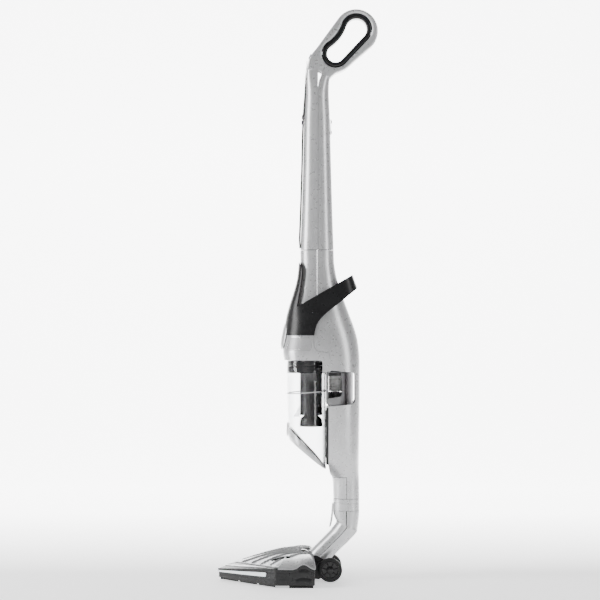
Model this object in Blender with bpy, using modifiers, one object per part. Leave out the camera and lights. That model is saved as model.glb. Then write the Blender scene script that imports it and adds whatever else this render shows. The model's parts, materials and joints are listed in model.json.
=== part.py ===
"""Cordless upright stick vacuum with a triangular floor head, as separate solids.

The front faces -X, +Y is the cleaner's left side and +Z is up. Z = 0 is the floor, and X = 0 is halfway between
the head's tip and the back of the handle loop. Lengths are in millimetres and are scaled by MM where a mesh is made.
"""

import math

import bmesh
import bpy
from mathutils import Matrix, Vector

MM = 0.001

# ---------------------------------------------------------------- driving dimensions
HEIGHT = 1100.0
HALF_LENGTH = 154.4
GAP = 0.4
WALL = 2.4

HEAD_TIP_X = -HALF_LENGTH
HEAD_CORNER_X = -42.0
HEAD_REAR_X = 34.0
HEAD_HALF_WIDTH = 132.0
HEAD_SPINE_Z = 58.0
HEAD_SIDE_Z = 37.0
HEAD_TIP_Z = 22.0
HEAD_BUMP_X = 11.5
NOTCH_X = 8.0
NOTCH_HALF_WIDTH = 30.2

AXLE_X = 62.2
WHEEL_RADIUS = 23.0
WHEEL_IN = 30.4
WHEEL_OUT = 44.4
AXLE_RADIUS = 4.0
BORE_RADIUS = 4.12

TUBE_RADIUS = 20.0
SWIVEL_X = 34.0
SWIVEL_Z = 39.2
SWIVEL_DIRECTION = Vector((1.0, 0.0, 1.0)).normalized()
TUBE_END_SUM = 80.0

NECK_X = 93.8
NECK_DEPTH = 25.4
NECK_WIDTH = 23.0
NECK_TOP_Z = 157.0
COLLAR_BOTTOM_Z = 134.0

BRUSH_X = -16.0
BRUSH_Z = 19.4
BRUSH_CORE_RADIUS = 11.0
BRUSH_TIP_RADIUS = 17.6
BRUSH_HALF_LENGTH = 100.0
BRUSH_PULLEY_RADIUS = 9.0
PINION_RADIUS = 4.5
MOTOR_X = 19.0

BODY_SEAM_Z = 636.2
BAY_TOP_Z = 424.0
HANDLE_HALF_WIDTH = 17.0

# The handle loop's opening: two round ends joined by a straight side and a hollow waist.
LOOP_TOP = Vector((113.0, 1062.0))
LOOP_BOTTOM = Vector((73.0, 1014.5))
LOOP_TOP_RADIUS = 20.0
LOOP_BOTTOM_RADIUS = 16.5
LOOP_WAIST_RADIUS = 79.0
GRIP_THICKNESS = 10.0

# Side profile of the body: z, front x, back x, half width, squareness of the plan section.
BODY_SECTIONS = (
    (636.2, 5.2, 69.6, 26.0, 2.3),
    (611.0, 5.0, 70.6, 27.0, 2.3),
    (580.0, 1.5, 76.0, 30.0, 2.3),
    (555.0, -5.0, 84.0, 35.0, 2.3),
    (530.0, -13.0, 93.0, 41.5, 2.4),
    (505.0, -19.5, 102.5, 48.0, 2.4),
    (480.0, -23.0, 111.5, 53.0, 2.5),
    (460.0, -26.5, 116.2, 55.5, 2.6),
    (440.0, -28.5, 118.8, 56.5, 2.7),
    (424.0, -26.0, 119.6, 56.5, 2.8),
    (330.0, -20.0, 119.6, 55.0, 2.8),
    (262.0, -10.0, 118.6, 50.0, 2.7),
    (235.0, 20.0, 118.2, 44.0, 2.5),
    (217.0, 46.0, 118.0, 35.0, 2.4),
    (203.0, 62.0, 118.2, 27.5, 2.3),
    (196.0, 66.4, 118.6, 25.0, 2.2),
    (172.0, 68.0, 119.0, 23.6, 2.2),
    (157.4, 68.4, 119.2, 23.0, 2.2),
)

# Side profile of the handle tube, in the same form.
TUBE_SECTIONS = (
    (1000.0, 21.4, 66.0, 16.4, 5.0),
    (984.0, 17.6, 64.0, 16.9, 4.6),
    (972.0, 16.2, 62.4, 17.9, 3.6),
    (960.0, 15.4, 61.0, 19.4, 2.8),
    (940.0, 14.6, 60.2, 21.5, 2.3),
    (890.0, 12.6, 62.2, 22.5, 2.3),
    (800.0, 10.8, 64.6, 23.5, 2.3),
    (700.0, 7.8, 67.4, 25.0, 2.3),
    (636.6, 5.2, 69.6, 26.0, 2.3),
)

SILVER = ("silver_plastic", (0.62, 0.62, 0.63), 0.32, 0.55)
BLACK = ("black_plastic", (0.02, 0.02, 0.021), 0.35, 0.0)
SOFT = ("soft_black", (0.012, 0.012, 0.012), 0.55, 0.0)
RUBBER = ("rubber", (0.015, 0.015, 0.015), 0.75, 0.0)
CLEAR = ("clear_plastic", (0.85, 0.87, 0.88), 0.05, 0.0)
SMOKE = ("smoked_plastic", (0.06, 0.06, 0.065), 0.2, 0.0)
GREY = ("grey_plastic", (0.3, 0.3, 0.31), 0.4, 0.2)
WHITE = ("lamp_lens", (0.9, 0.9, 0.9), 0.2, 0.0)
STEEL = ("steel", (0.6, 0.6, 0.6), 0.25, 1.0)
PAPER = ("filter_fleece", (0.8, 0.8, 0.78), 0.9, 0.0)
CELL = ("battery_wrap", (0.05, 0.1, 0.3), 0.4, 0.0)

OBJECT_NAME = "cordless_stick_vacuum"


# ---------------------------------------------------------------- scene helpers
def clear_scene():
    for obj in list(bpy.data.objects):
        bpy.data.objects.remove(obj, do_unlink=True)


def collection(name):
    made = bpy.data.collections.new(name)
    bpy.context.scene.collection.children.link(made)
    return made


def material(spec):
    name, colour, roughness, metallic = spec
    found = bpy.data.materials.get(name)
    if found:
        return found
    made = bpy.data.materials.new(name)
    made.use_nodes = True
    made.diffuse_color = (*colour, 1.0)
    shader = made.node_tree.nodes["Principled BSDF"]
    shader.inputs["Base Color"].default_value = (*colour, 1.0)
    shader.inputs["Roughness"].default_value = roughness
    shader.inputs["Metallic"].default_value = metallic
    return made


def add_object(name, mesh, spec):
    obj = bpy.data.objects.new(name, mesh)
    PARTS.objects.link(obj)
    mesh.materials.append(material(spec))
    return obj


def mesh_from(name, points, faces):
    mesh = bpy.data.meshes.new(name)
    mesh.from_pydata([tuple(Vector(p) * MM) for p in points], [], faces)
    mesh.update()
    return mesh


def solidify(obj, thickness):
    made = obj.modifiers.new("wall", "SOLIDIFY")
    made.thickness = thickness * MM
    made.offset = -1.0
    made.use_even_offset = False
    return obj


def bevel(obj, width, segments=2, angle=40.0):
    made = obj.modifiers.new("edges", "BEVEL")
    made.width = width * MM
    made.segments = segments
    made.limit_method = "ANGLE"
    made.angle_limit = math.radians(angle)
    return obj


def hide(cutter):
    cutter.hide_render = True
    cutter.display_type = "WIRE"
    for found in list(cutter.users_collection):
        found.objects.unlink(cutter)
    CUTTERS.objects.link(cutter)
    return cutter


def boolean(obj, other, operation):
    made = obj.modifiers.new(operation.lower(), "BOOLEAN")
    made.operation = operation
    made.solver = "EXACT"
    made.object = hide(other)
    return obj


def cut(obj, *cutters):
    for cutter in cutters:
        boolean(obj, cutter, "DIFFERENCE")
    return obj


def join(obj, *others):
    for other in others:
        boolean(obj, other, "UNION")
    return obj


# ---------------------------------------------------------------- shape helpers
def grid(name, rows, spec, closed=False, cap_start=False, cap_end=False):
    """Quads between rows of points. Rows run from the top down and points run counter-clockwise seen from above."""
    count = len(rows[0])
    points = [p for row in rows for p in row]
    faces = []
    for r in range(len(rows) - 1):
        for c in range(count if closed else count - 1):
            d = (c + 1) % count
            faces.append((r * count + c, (r + 1) * count + c, (r + 1) * count + d, r * count + d))
    if cap_start:
        faces.append(tuple(range(count)))
    if cap_end:
        last = (len(rows) - 1) * count
        faces.append(tuple(last + c for c in reversed(range(count))))
    return add_object(name, mesh_from(name, points, faces), spec)


def solid_loft(name, rows, spec):
    return grid(name, rows, spec, closed=True, cap_start=True, cap_end=True)


def block(name, low, high, spec, edge=0.0, segments=1):
    mesh = bpy.data.meshes.new(name)
    form = bmesh.new()
    bmesh.ops.create_cube(form, size=1.0)
    low, high = Vector(low), Vector(high)
    size = high - low
    bmesh.ops.scale(form, vec=size * MM, verts=form.verts)
    bmesh.ops.translate(form, vec=(low + high) / 2 * MM, verts=form.verts)
    form.to_mesh(mesh)
    form.free()
    obj = add_object(name, mesh, spec)
    if edge:
        bevel(obj, edge, segments)
    return obj


def rod(name, start, end, radius, spec, segments=16, end_radius=None):
    """A cylinder or cone between two points."""
    start, end = Vector(start), Vector(end)
    axis = end - start
    mesh = bpy.data.meshes.new(name)
    form = bmesh.new()
    bmesh.ops.create_cone(
        form,
        cap_ends=True,
        segments=segments,
        radius1=radius * MM,
        radius2=(radius if end_radius is None else end_radius) * MM,
        depth=axis.length * MM,
    )
    form.to_mesh(mesh)
    form.free()
    obj = add_object(name, mesh, spec)
    obj.matrix_world = Matrix.Translation((start + end) / 2 * MM) @ axis.to_track_quat("Z", "Y").to_matrix().to_4x4()
    return obj


def turned(name, profile, origin, axis, spec, steps=24):
    """A closed profile of (radius, height) pairs, outer side first from the top down, turned about an axis."""
    points = [(r, 0.0, h) for r, h in profile]
    mesh = bpy.data.meshes.new(name)
    pairs = [(i, (i + 1) % len(points)) for i in range(len(points))]
    edges = [pair for pair in pairs if any(profile[i][0] > 0 for i in pair)]
    mesh.from_pydata([tuple(Vector(p) * MM) for p in points], edges, [])
    obj = add_object(name, mesh, spec)
    screw = obj.modifiers.new("turn", "SCREW")
    screw.steps = steps
    screw.render_steps = steps
    screw.use_merge_vertices = True
    screw.merge_threshold = 0.00001
    obj.matrix_world = Matrix.Translation(Vector(origin) * MM) @ Vector(axis).to_track_quat("Z", "Y").to_matrix().to_4x4()
    return obj


def outline_solid(name, loops, y_low, y_high, spec, edge=0.0):
    """A flat outline in X and Z, with any further loops as holes, extruded across Y."""
    half = abs(y_high - y_low) / 2
    curve = bpy.data.curves.new(name, "CURVE")
    curve.dimensions = "2D"
    curve.fill_mode = "BOTH"
    curve.extrude = (half - edge) * MM
    curve.bevel_depth = edge * MM
    curve.bevel_resolution = 1 if edge > 1.0 else 0
    curve.offset = -edge * MM
    for loop in loops:
        spline = curve.splines.new("POLY")
        spline.points.add(len(loop) - 1)
        for point, (x, z) in zip(spline.points, loop):
            point.co = (x * MM, z * MM, 0.0, 1.0)
        spline.use_cyclic_u = True
    flat = bpy.data.objects.new(name + "_outline", curve)
    PARTS.objects.link(flat)
    flat.matrix_world = Matrix.Translation((0, (y_low + y_high) / 2 * MM, 0)) @ Matrix.Rotation(math.pi / 2, 4, "X")
    return as_mesh(name, flat, spec)


def plan_solid(name, outline, z_low, z_high, spec):
    """A vertical prism on an outline of (x, y) points, counter-clockwise seen from above."""
    return solid_loft(name, [[(x, y, z) for x, y in outline] for z in (z_high, z_low)], spec)


def as_mesh(name, curve_object, spec):
    """The curve's evaluated shape as a welded mesh object, with the curve removed."""
    bpy.context.view_layer.update()
    graph = bpy.context.evaluated_depsgraph_get()
    mesh = bpy.data.meshes.new_from_object(curve_object.evaluated_get(graph))
    form = bmesh.new()
    form.from_mesh(mesh)
    bmesh.ops.remove_doubles(form, verts=form.verts, dist=0.00001)
    bmesh.ops.recalc_face_normals(form, faces=form.faces)
    form.to_mesh(mesh)
    form.free()
    mesh.materials.clear()
    obj = add_object(name, mesh, spec)
    obj.matrix_world = curve_object.matrix_world
    bpy.data.objects.remove(curve_object)
    return obj


def tube(name, points, radius, spec, resolution=3):
    """A round wire or hose along a list of points."""
    curve = bpy.data.curves.new(name, "CURVE")
    curve.dimensions = "3D"
    curve.bevel_depth = radius * MM
    curve.bevel_resolution = resolution
    curve.use_fill_caps = True
    spline = curve.splines.new("POLY")
    spline.points.add(len(points) - 1)
    for point, co in zip(spline.points, points):
        point.co = (*(Vector(co) * MM), 1.0)
    obj = bpy.data.objects.new(name + "_path", curve)
    PARTS.objects.link(obj)
    return as_mesh(name, obj, spec)


def arc(centre, radius, start, end, count):
    """Points of an arc in a plane, with its angles in degrees."""
    angles = [math.radians(start + (end - start) * i / count) for i in range(count + 1)]
    return [(centre[0] + radius * math.cos(a), centre[1] + radius * math.sin(a)) for a in angles]


def ease(value):
    value = max(0.0, min(1.0, value))
    return value * value * (3 - 2 * value)


def section_at(sections, z):
    """The side profile at a height, along a smooth curve through the listed sections."""
    rows = sorted(sections, key=lambda row: row[0])
    z = max(rows[0][0], min(rows[-1][0], z))
    i = max(k for k in range(len(rows) - 1) if rows[k][0] <= z + 1e-9)
    before, low, high, after = rows[max(i - 1, 0)], rows[i], rows[i + 1], rows[min(i + 2, len(rows) - 1)]
    step = high[0] - low[0]
    t = (z - low[0]) / step
    values = []
    for k in range(1, 5):
        slope_low = (high[k] - before[k]) / (high[0] - before[0]) * step
        slope_high = (after[k] - low[k]) / (after[0] - low[0]) * step
        values.append(
            (2 * t**3 - 3 * t**2 + 1) * low[k]
            + (t**3 - 2 * t**2 + t) * slope_low
            + (3 * t**2 - 2 * t**3) * high[k]
            + (t**3 - t**2) * slope_high
        )
    return values


def ring_point(front, back, half_width, square, angle, offset=0.0):
    """A point of a plan section. Angle 0 is the back and 90 degrees is the left side."""
    middle = (front + back) / 2
    c, s = math.cos(angle), math.sin(angle)
    depth = (back - middle if c > 0 else middle - front) + offset
    x = middle + math.copysign(depth * abs(c) ** (2 / square), c)
    y = math.copysign((half_width + offset) * abs(s) ** (2 / square), s)
    return x, y


def edge_angle(front, back, square, x, offset=0.0):
    """The angle at which a plan section reaches an x."""
    middle = (front + back) / 2
    depth = (back - front) / 2 + offset
    share = max(-1.0, min(1.0, (x - middle) / depth))
    return math.acos(math.copysign(abs(share) ** (square / 2), share))


def patch_rows(sections, heights, edge_x, rear, offset=0.0, count=16):
    """Rows of the body surface behind, or in front of, the line edge_x(z)."""
    rows = []
    for z in heights:
        front, back, width, square = section_at(sections, z)
        edge = edge_angle(front, back, square, edge_x(z), offset)
        low, high = (-edge, edge) if rear else (edge, 2 * math.pi - edge)
        row = []
        for i in range(count + 1):
            x, y = ring_point(front, back, width, square, low + (high - low) * i / count, offset)
            row.append((x, y, z))
        rows.append(row)
    return rows


def spaced(high, low, count):
    return [high + (low - high) * i / count for i in range(count + 1)]


def piecewise(points, value):
    """Straight-line interpolation through (input, output) pairs in rising order."""
    if value <= points[0][0]:
        return points[0][1]
    for (a, fa), (b, fb) in zip(points, points[1:]):
        if value <= b:
            return fa + (fb - fa) * (value - a) / (b - a)
    return points[-1][1]


# ---------------------------------------------------------------- floor head
def head_plan(inset=0.0, notch=True):
    """The head's outline seen from above, counter-clockwise, as (x, y) with the share of the way along the front edge."""
    half = []
    front_steps = 7
    corner = Vector((HEAD_CORNER_X, HEAD_HALF_WIDTH))
    tip = Vector((HEAD_TIP_X, 0.0))
    along = (corner - tip).normalized()
    for i in range(front_steps + 1):
        share = 0.035 + (0.965 - 0.035) * i / front_steps
        bow = 2.5 * math.sin(math.pi * share)
        p = tip.lerp(corner, share) + Vector((-along.y, along.x)) * bow
        half.append((p.x, p.y, share))
    half.append((HEAD_CORNER_X + 4, HEAD_HALF_WIDTH - 0.4, 1.0))
    for x in (-24.0, -9.0, -3.0, 4.0, 11.5, 19.0, 26.0, 30.0):
        half.append((x, HEAD_HALF_WIDTH, 1.0))
    half.append((HEAD_REAR_X - 0.6, HEAD_HALF_WIDTH - 2.5, 1.0))
    for y in (124.0, 96.0, 62.0):
        half.append((HEAD_REAR_X, y, 1.0))
    if notch:
        half.append((HEAD_REAR_X, NOTCH_HALF_WIDTH, 1.0))
        half.append((NOTCH_X, NOTCH_HALF_WIDTH, 1.0))
        half.append((NOTCH_X, NOTCH_HALF_WIDTH / 2, 1.0))
    else:
        half.append((HEAD_REAR_X, 30.0, 1.0))
    full = [(x, -y, s) for x, y, s in half] + [(x, y, s) for x, y, s in reversed(half)]
    full = [(HEAD_TIP_X, 0.0, 0.0)] + full
    return inset_plan(full, inset) if inset else full


def inset_plan(plan, inset):
    """Moves each point of a plan inwards by the same distance from the edges that meet there."""
    moved = []
    count = len(plan)
    for i, (x, y, share) in enumerate(plan):
        before, here, after = Vector(plan[i - 1][:2]), Vector((x, y)), Vector(plan[(i + 1) % count][:2])
        into, out = (here - before).normalized(), (after - here).normalized()
        normal = Vector((-into.y, into.x)) + Vector((-out.y, out.x))
        normal.normalize()
        reach = inset / max(0.35, normal.dot(Vector((-into.y, into.x))))
        moved.append((x + normal.x * reach, y + normal.y * reach, share))
    return moved


def wall_top(x, share):
    """Height of the black side wall's top edge."""
    if share < 1.0:
        return HEAD_TIP_Z + (HEAD_SIDE_Z - HEAD_TIP_Z) * share
    reach = abs(x - HEAD_BUMP_X) / 21.0
    return HEAD_SIDE_Z + (9.0 * math.cos(reach * math.pi / 2) ** 2 if reach < 1 else 0.0)


def cover_point(plan_point, spread):
    """A point of the head's domed top, from the spine (spread 0) out to the wall (spread 1)."""
    x, y, share = plan_point
    edge = wall_top(x, share) if x < HEAD_REAR_X - 0.7 else HEAD_SIDE_Z
    fall = 1.6 + 1.2 * share if share < 1.0 else 3.0 + 4.0 * ease((x + 20) / 50)
    z = edge + (HEAD_SPINE_Z - edge) * (1 - spread**fall)
    return (x * spread, y * spread, z)


def silver_share(share):
    """How far out the silver cover reaches towards the front edge."""
    return 0.785 + 0.195 * share


def head_base():
    plan = head_plan(inset=1.6)
    rows = []
    for level in (1.0, 0.0):
        rows.append([(x, y, 6.0 + (wall_top(x, s) - 2.8 - 6.0) * level) for x, y, s in plan])
    rows.append([(x, y, 4.6) for x, y, s in head_plan(inset=3.4)])
    base = solidify(grid("head_base", rows, BLACK, closed=True), WALL)
    for side in (-1, 1):
        near, far = side * 24.8, side * 29.8
        arm = [(3.0, 33.0), (3.0, 10.0), (40.0, 4.0)]
        arm += arc((AXLE_X, WHEEL_RADIUS), 12.0, -110.0, 100.0, 8)
        arm += [(44.0, 36.0)]
        join(base, outline_solid("bracket", [arm], min(near, far), max(near, far), BLACK))
        cut(base, rod("axle_hole", (AXLE_X, near - side * 5, WHEEL_RADIUS), (AXLE_X, far + side * 5, WHEEL_RADIUS),
                      BORE_RADIUS, BLACK, 24))
    return base


def head_cover():
    plan = head_plan(notch=False)
    spreads = (0.0, 0.35, 0.62, 0.84, 1.0)
    rows = []
    for spread in spreads[1:]:
        row = []
        for x, y, s in plan:
            reach = silver_share(s) if s < 1.0 else 1.0
            row.append(cover_point((x, y, s), spread * reach))
        rows.append(row)
    count = len(plan)
    points = [p for row in rows for p in row] + [(0.0, 0.0, HEAD_SPINE_Z)]
    centre = len(points) - 1
    faces = [(centre, c, (c + 1) % count) for c in range(count)]
    for r in range(len(rows) - 1):
        for c in range(count):
            d = (c + 1) % count
            faces.append((r * count + c, (r + 1) * count + c, (r + 1) * count + d, r * count + d))
    cover = solidify(add_object("head_top_cover", mesh_from("head_top_cover", points, faces), SILVER), 2.0)
    notch = block("neck_notch", (NOTCH_X - 1.0, -NOTCH_HALF_WIDTH - 1.0, 20.0), (60.0, NOTCH_HALF_WIDTH + 1.0, 80.0), SILVER)
    slots = []
    for side in (-1, 1):
        slots.append(block("latch_slot", (-48.0, side * 78 - 9.0, 30.0), (-16.0, side * 78 + 9.0, 75.0), SILVER))
    return cut(cover, notch, *slots)


def front_deck():
    """The black nose between the silver cover and the front edge."""
    plan = head_plan(notch=False)
    front = [p for p in plan if p[2] < 0.999]
    split = [i for i, p in enumerate(front) if p[1] > 0][0]
    ordered = front[split:] + front[:split]
    rows = []
    for t in (0.0, 0.5, 1.0):
        row = []
        for x, y, s in ordered:
            start = silver_share(s) + 0.006
            row.append(cover_point((x, y, s), start + (1.0 - start) * t))
        rows.append(row)
    rows.append([(x * 0.996, y * 0.996, z - 2.6) for x, y, z in rows[-1]])
    deck = grid("front_deck", rows, BLACK)
    return solidify(deck, 1.3)


def front_strip(name, spec, low, high, inset, thickness, ends=0.86, offset=0.0):
    """A band that follows both front edges of the head, between two heights given at the tip and at the corner."""
    plan = inset_plan(head_plan(notch=False), inset)
    front = [p for p in plan if p[2] < ends]
    split = [i for i, p in enumerate(front) if p[1] > 0][0]
    ordered = front[split:] + front[:split]
    rows = [
        [(x, y, high[0] + (high[1] - high[0]) * s) for x, y, s in ordered],
        [(x, y, low[0] + (low[1] - low[0]) * s) for x, y, s in ordered],
    ]
    return solidify(grid(name, rows, spec), thickness)


def trim_strip():
    """The pale line set on the nose."""
    plan = head_plan(notch=False)
    front = [p for p in plan if p[2] < 0.86]
    split = [i for i, p in enumerate(front) if p[1] > 0][0]
    ordered = front[split:] + front[:split]
    rows = []
    for t in (0.40, 0.62):
        row = []
        for x, y, s in ordered:
            start = silver_share(s) + 0.006
            px, py, pz = cover_point((x, y, s), start + (1.0 - start) * t)
            row.append((px, py, pz + 1.1))
        rows.append(row)
    return solidify(grid("nose_trim", rows, SILVER), 0.8)


def bumper():
    made = front_strip("front_bumper", RUBBER, (1.2, 1.2), (12.0, 12.0), 6.6, 3.0, ends=0.97)
    corner = Vector((HEAD_CORNER_X, HEAD_HALF_WIDTH))
    tip = Vector((HEAD_TIP_X, 0.0))
    notches = []
    for side in (-1, 1):
        for share in (0.34, 0.67):
            p = tip.lerp(corner, share)
            notches.append(rod("bumper_notch", (p.x - 12, side * p.y + side * 14, 1.0),
                               (p.x + 26, side * p.y - side * 30, 1.0), 5.0, RUBBER, 6))
    return cut(made, *notches)


def sole_plate():
    half = [(-134.0, 5.0), (-40.0, 112.0), (-33.0, 119.0), (24.0, 119.0), (24.0, 42.0), (-2.0, 36.0)]
    plan = [(x, -y) for x, y in half] + [(x, y) for x, y in reversed(half)]
    plate = solid_loft("sole_plate", [[(x, y, z) for x, y in plan] for z in (7.6, 5.2)], BLACK)
    slot_low, slot_high = BRUSH_X - 20.0, BRUSH_X + 19.0
    mouth = block("suction_mouth", (slot_low - 10.0, -90.0, 0.0), (slot_low + 10.0, 90.0, 20.0), BLACK)
    return cut(plate, block("brush_slot", (slot_low, -104.0, 0.0), (slot_high, 104.0, 20.0), BLACK), mouth)


def brush():
    axis_low, axis_high = -BRUSH_HALF_LENGTH, BRUSH_HALF_LENGTH
    core = turned(
        "brush_roller",
        [
            (0.0, 122.0), (4.0, 122.0), (4.0, 118.0), (BRUSH_PULLEY_RADIUS, 118.0), (BRUSH_PULLEY_RADIUS, 108.0),
            (5.0, 107.0), (5.0, axis_high), (BRUSH_CORE_RADIUS, axis_high), (BRUSH_CORE_RADIUS, axis_low),
            (5.0, axis_low), (5.0, -112.0), (0.0, -112.0),
        ],
        (BRUSH_X, 0.0, BRUSH_Z), (0.0, 1.0, 0.0), GREY, 20,
    )
    steps = 22
    turns = 0.75
    rows = []
    for i in range(steps + 1):
        y = axis_low + 4 + (axis_high - axis_low - 8) * i / steps
        angle = 2 * math.pi * turns * i / steps
        ring = []
        for radius, swing in ((BRUSH_CORE_RADIUS + 0.5, -0.14), (BRUSH_TIP_RADIUS, -0.10),
                              (BRUSH_TIP_RADIUS, 0.10), (BRUSH_CORE_RADIUS + 0.5, 0.14)):
            a = angle + swing
            ring.append((BRUSH_X + radius * math.cos(a), y, BRUSH_Z + radius * math.sin(a)))
        rows.append(ring)
    solid_loft("brush_bristles", rows, SOFT)
    return core


def brush_drive():
    rod("brush_motor", (MOTOR_X, 56.0, BRUSH_Z), (MOTOR_X, 103.0, BRUSH_Z), 10.0, STEEL, 20)
    rod("motor_pinion", (MOTOR_X, 103.6, BRUSH_Z), (MOTOR_X, 117.0, BRUSH_Z), PINION_RADIUS, STEEL, 14)
    span = MOTOR_X - BRUSH_X
    lean = math.degrees(math.asin((BRUSH_PULLEY_RADIUS - PINION_RADIUS) / span))
    loops = []
    for offset in (2.0, 0.5):
        loop = arc((BRUSH_X, BRUSH_Z), BRUSH_PULLEY_RADIUS + offset, 90 - lean, 270 + lean, 10)
        loop += arc((MOTOR_X, BRUSH_Z), PINION_RADIUS + offset, -90 + lean, 90 - lean, 8)
        loops.append(loop)
    outline_solid("drive_belt", loops, 109.0, 116.0, RUBBER)


def head_details():
    for name, side in (("left", 1), ("right", -1)):
        low, high = sorted((side * 117.0, side * 129.0))
        block("side_pad_" + name, (-16.0, low, 0.0), (29.5, high, 4.2), RUBBER, 1.0)
        low, high = sorted((side * 78.0 - 7.5, side * 78.0 + 7.5))
        block("brush_latch_" + name, (-38.0, low, 43.0), (-20.0, high, 52.5), GREY, 2.0)
        inner, outer = side * WHEEL_IN, side * WHEEL_OUT
        wheel(name, inner, outer)


def wheel_axle():
    rod("wheel_axle", (AXLE_X, -43.4, WHEEL_RADIUS), (AXLE_X, 43.4, WHEEL_RADIUS), AXLE_RADIUS, STEEL, 24)


def wheel(name, inner, outer):
    direction = (0.0, math.copysign(1.0, outer), 0.0)
    depth = abs(outer - inner)
    hub = turned(
        "wheel_hub_" + name,
        [(17.0, depth - 0.6), (17.0, 0.6), (15.0, 0.6), (14.2, 5.0), (8.0, 5.0), (8.0, 0.0), (BORE_RADIUS, 0.0),
         (BORE_RADIUS, depth - 1.0), (8.0, depth - 1.0), (8.0, depth - 3.5), (14.2, depth - 3.5), (15.0, depth - 0.6)],
        (AXLE_X, inner, WHEEL_RADIUS), direction, BLACK, 24,
    )
    tyre = turned(
        "wheel_tyre_" + name,
        [(WHEEL_RADIUS - 1.6, depth), (WHEEL_RADIUS, depth - 1.8), (WHEEL_RADIUS, 1.8), (WHEEL_RADIUS - 1.6, 0.0),
         (17.4, 0.0), (17.4, depth)],
        (AXLE_X, inner, WHEEL_RADIUS), direction, RUBBER, 24,
    )
    return hub, tyre


# ---------------------------------------------------------------- swivel yoke and neck
def swivel_point(x_plus_z):
    """The point of the swivel axis whose x and z add up to this."""
    base = Vector((SWIVEL_X, 0.0, SWIVEL_Z))
    return base + SWIVEL_DIRECTION * ((x_plus_z - SWIVEL_X - SWIVEL_Z) / math.sqrt(2))


def yoke():
    top = swivel_point(TUBE_END_SUM - 0.8)
    ring = turned(
        "swivel_yoke",
        [(21.6, 0.0), (21.6, -10.0), (15.5, -10.0), (15.5, 0.0)],
        top, SWIVEL_DIRECTION, BLACK, 28,
    )
    start = swivel_point(TUBE_END_SUM - 8.0)
    slope = math.degrees(math.atan2(WHEEL_RADIUS - start.z, AXLE_X - start.x))
    for side in (-1, 1):
        near, far = side * 20.7, side * 24.2
        cheek = arc((AXLE_X, WHEEL_RADIUS), 10.5, slope - 90, slope + 90, 8)
        cheek += arc((start.x, start.z), 10.5, slope + 90, slope + 270, 6)
        join(ring, outline_solid("cheek", [cheek], min(near, far), max(near, far), BLACK))
        cut(ring, rod("cheek_hole", (AXLE_X, near - side * 5, WHEEL_RADIUS), (AXLE_X, far + side * 5, WHEEL_RADIUS),
                      BORE_RADIUS, BLACK, 24))
    return ring


def neck_rows(angles, collar):
    """Rows of the neck's outer surface at the given angles: the collar alone, or the elbow and the sloping tube."""
    rows = []
    if collar:
        for z in (NECK_TOP_Z - GAP / 2, COLLAR_BOTTOM_Z + GAP / 2):
            rows.append([(*ring_point(NECK_X - NECK_DEPTH, NECK_X + NECK_DEPTH, NECK_WIDTH, 2.2, a), z) for a in angles])
        return rows
    levels = ((COLLAR_BOTTOM_Z - GAP / 2, NECK_DEPTH, 0.0), (124.0, 24.6, 0.10), (109.0, 21.6, 0.45), (101.5, 19.8, 0.52))
    for z, depth, slope in levels:
        row = []
        for a in angles:
            x, y = ring_point(NECK_X - depth, NECK_X + depth, NECK_WIDTH - 1.0, 2.1, a)
            row.append((x, y, z - slope * (x - NECK_X)))
        rows.append(row)
    across = Vector((1.0, 0.0, -1.0)).normalized()
    for total, radius in ((166.0, 20.6), (150.0, 20.0), (TUBE_END_SUM + 14.0, 20.0), (TUBE_END_SUM, 19.6)):
        centre = swivel_point(total)
        rows.append([tuple(centre + across * radius * math.cos(a) + Vector((0, 1, 0)) * radius * math.sin(a)) for a in angles])
    return rows


def neck():
    count = 14
    half = math.pi / 2 - 0.03
    rear = [-half + 2 * half * i / count for i in range(count + 1)]
    front = [a + math.pi for a in rear]
    solidify(grid("elbow_rear_shell", neck_rows(rear, False), SILVER), WALL)
    solidify(grid("elbow_front_shell", neck_rows(front, False), SILVER), WALL)
    whole = [2 * math.pi * i / 28 for i in range(28)]
    solidify(grid("neck_collar", neck_rows(whole, True), SILVER, closed=True), WALL)
    lever = [(67.8, 148.0), (66.0, 146.5), (64.6, 128.0), (60.8, 104.0), (61.6, 102.0), (64.0, 104.0), (67.2, 118.0),
             (68.0, 130.0)]
    outline_solid("neck_release_lever", [lever], -9.0, 9.0, SILVER, 0.8)


def suction_hose():
    """The flexible duct from the swivel ring up to the dust container's inlet."""
    points = [swivel_point(TUBE_END_SUM + 8), swivel_point(120.0), swivel_point(160.0), (NECK_X - 1, 0, 112.0),
              (NECK_X, 0, 140.0), (NECK_X - 4, 0, 175.0), (NECK_X - 6, 0, 200.0)]
    outer = tube("suction_hose", points, 14.5, SOFT, 3)
    ends = [Vector(points[0]) - SWIVEL_DIRECTION * 6, *points[1:-1], (NECK_X - 6, 0, 206.0)]
    return cut(outer, tube("hose_bore", ends, 12.6, SOFT, 3))


# ---------------------------------------------------------------- body
def body_core(name, z_high, z_low, offset, spec, steps=4):
    """The body's full plan sections between two heights, moved in or out by an offset."""
    rows = []
    for z in spaced(z_high, z_low, steps):
        section = section_at(BODY_SECTIONS, z)
        rows.append([(*ring_point(*section, 2 * math.pi * i / 32, offset), z) for i in range(32)])
    return solid_loft(name, rows, spec)


def bay_side_view(gap):
    """Side view of everything in front of the rear housing, from the neck up to the carrying band."""
    return [
        (-80.0, 150.0), (94.2 + gap, 150.0), (94.2 + gap, 198.8 + gap), (66.0, 198.8 + gap), (62.0, 206.0), (58.6 + gap, 222.0),
        (58.6 + gap, 338.0), (62.0, 404.0), (60.4 + gap, 436.0), (55.0 + gap, 439.6 + gap), (36.6 + gap, 443.4 + gap),
        (31.0 + gap, 455.0), (31.4 + gap, 474.0), (37.4 + gap, 500.0), (37.4 + gap, 650.0), (-80.0, 650.0),
    ]


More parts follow.
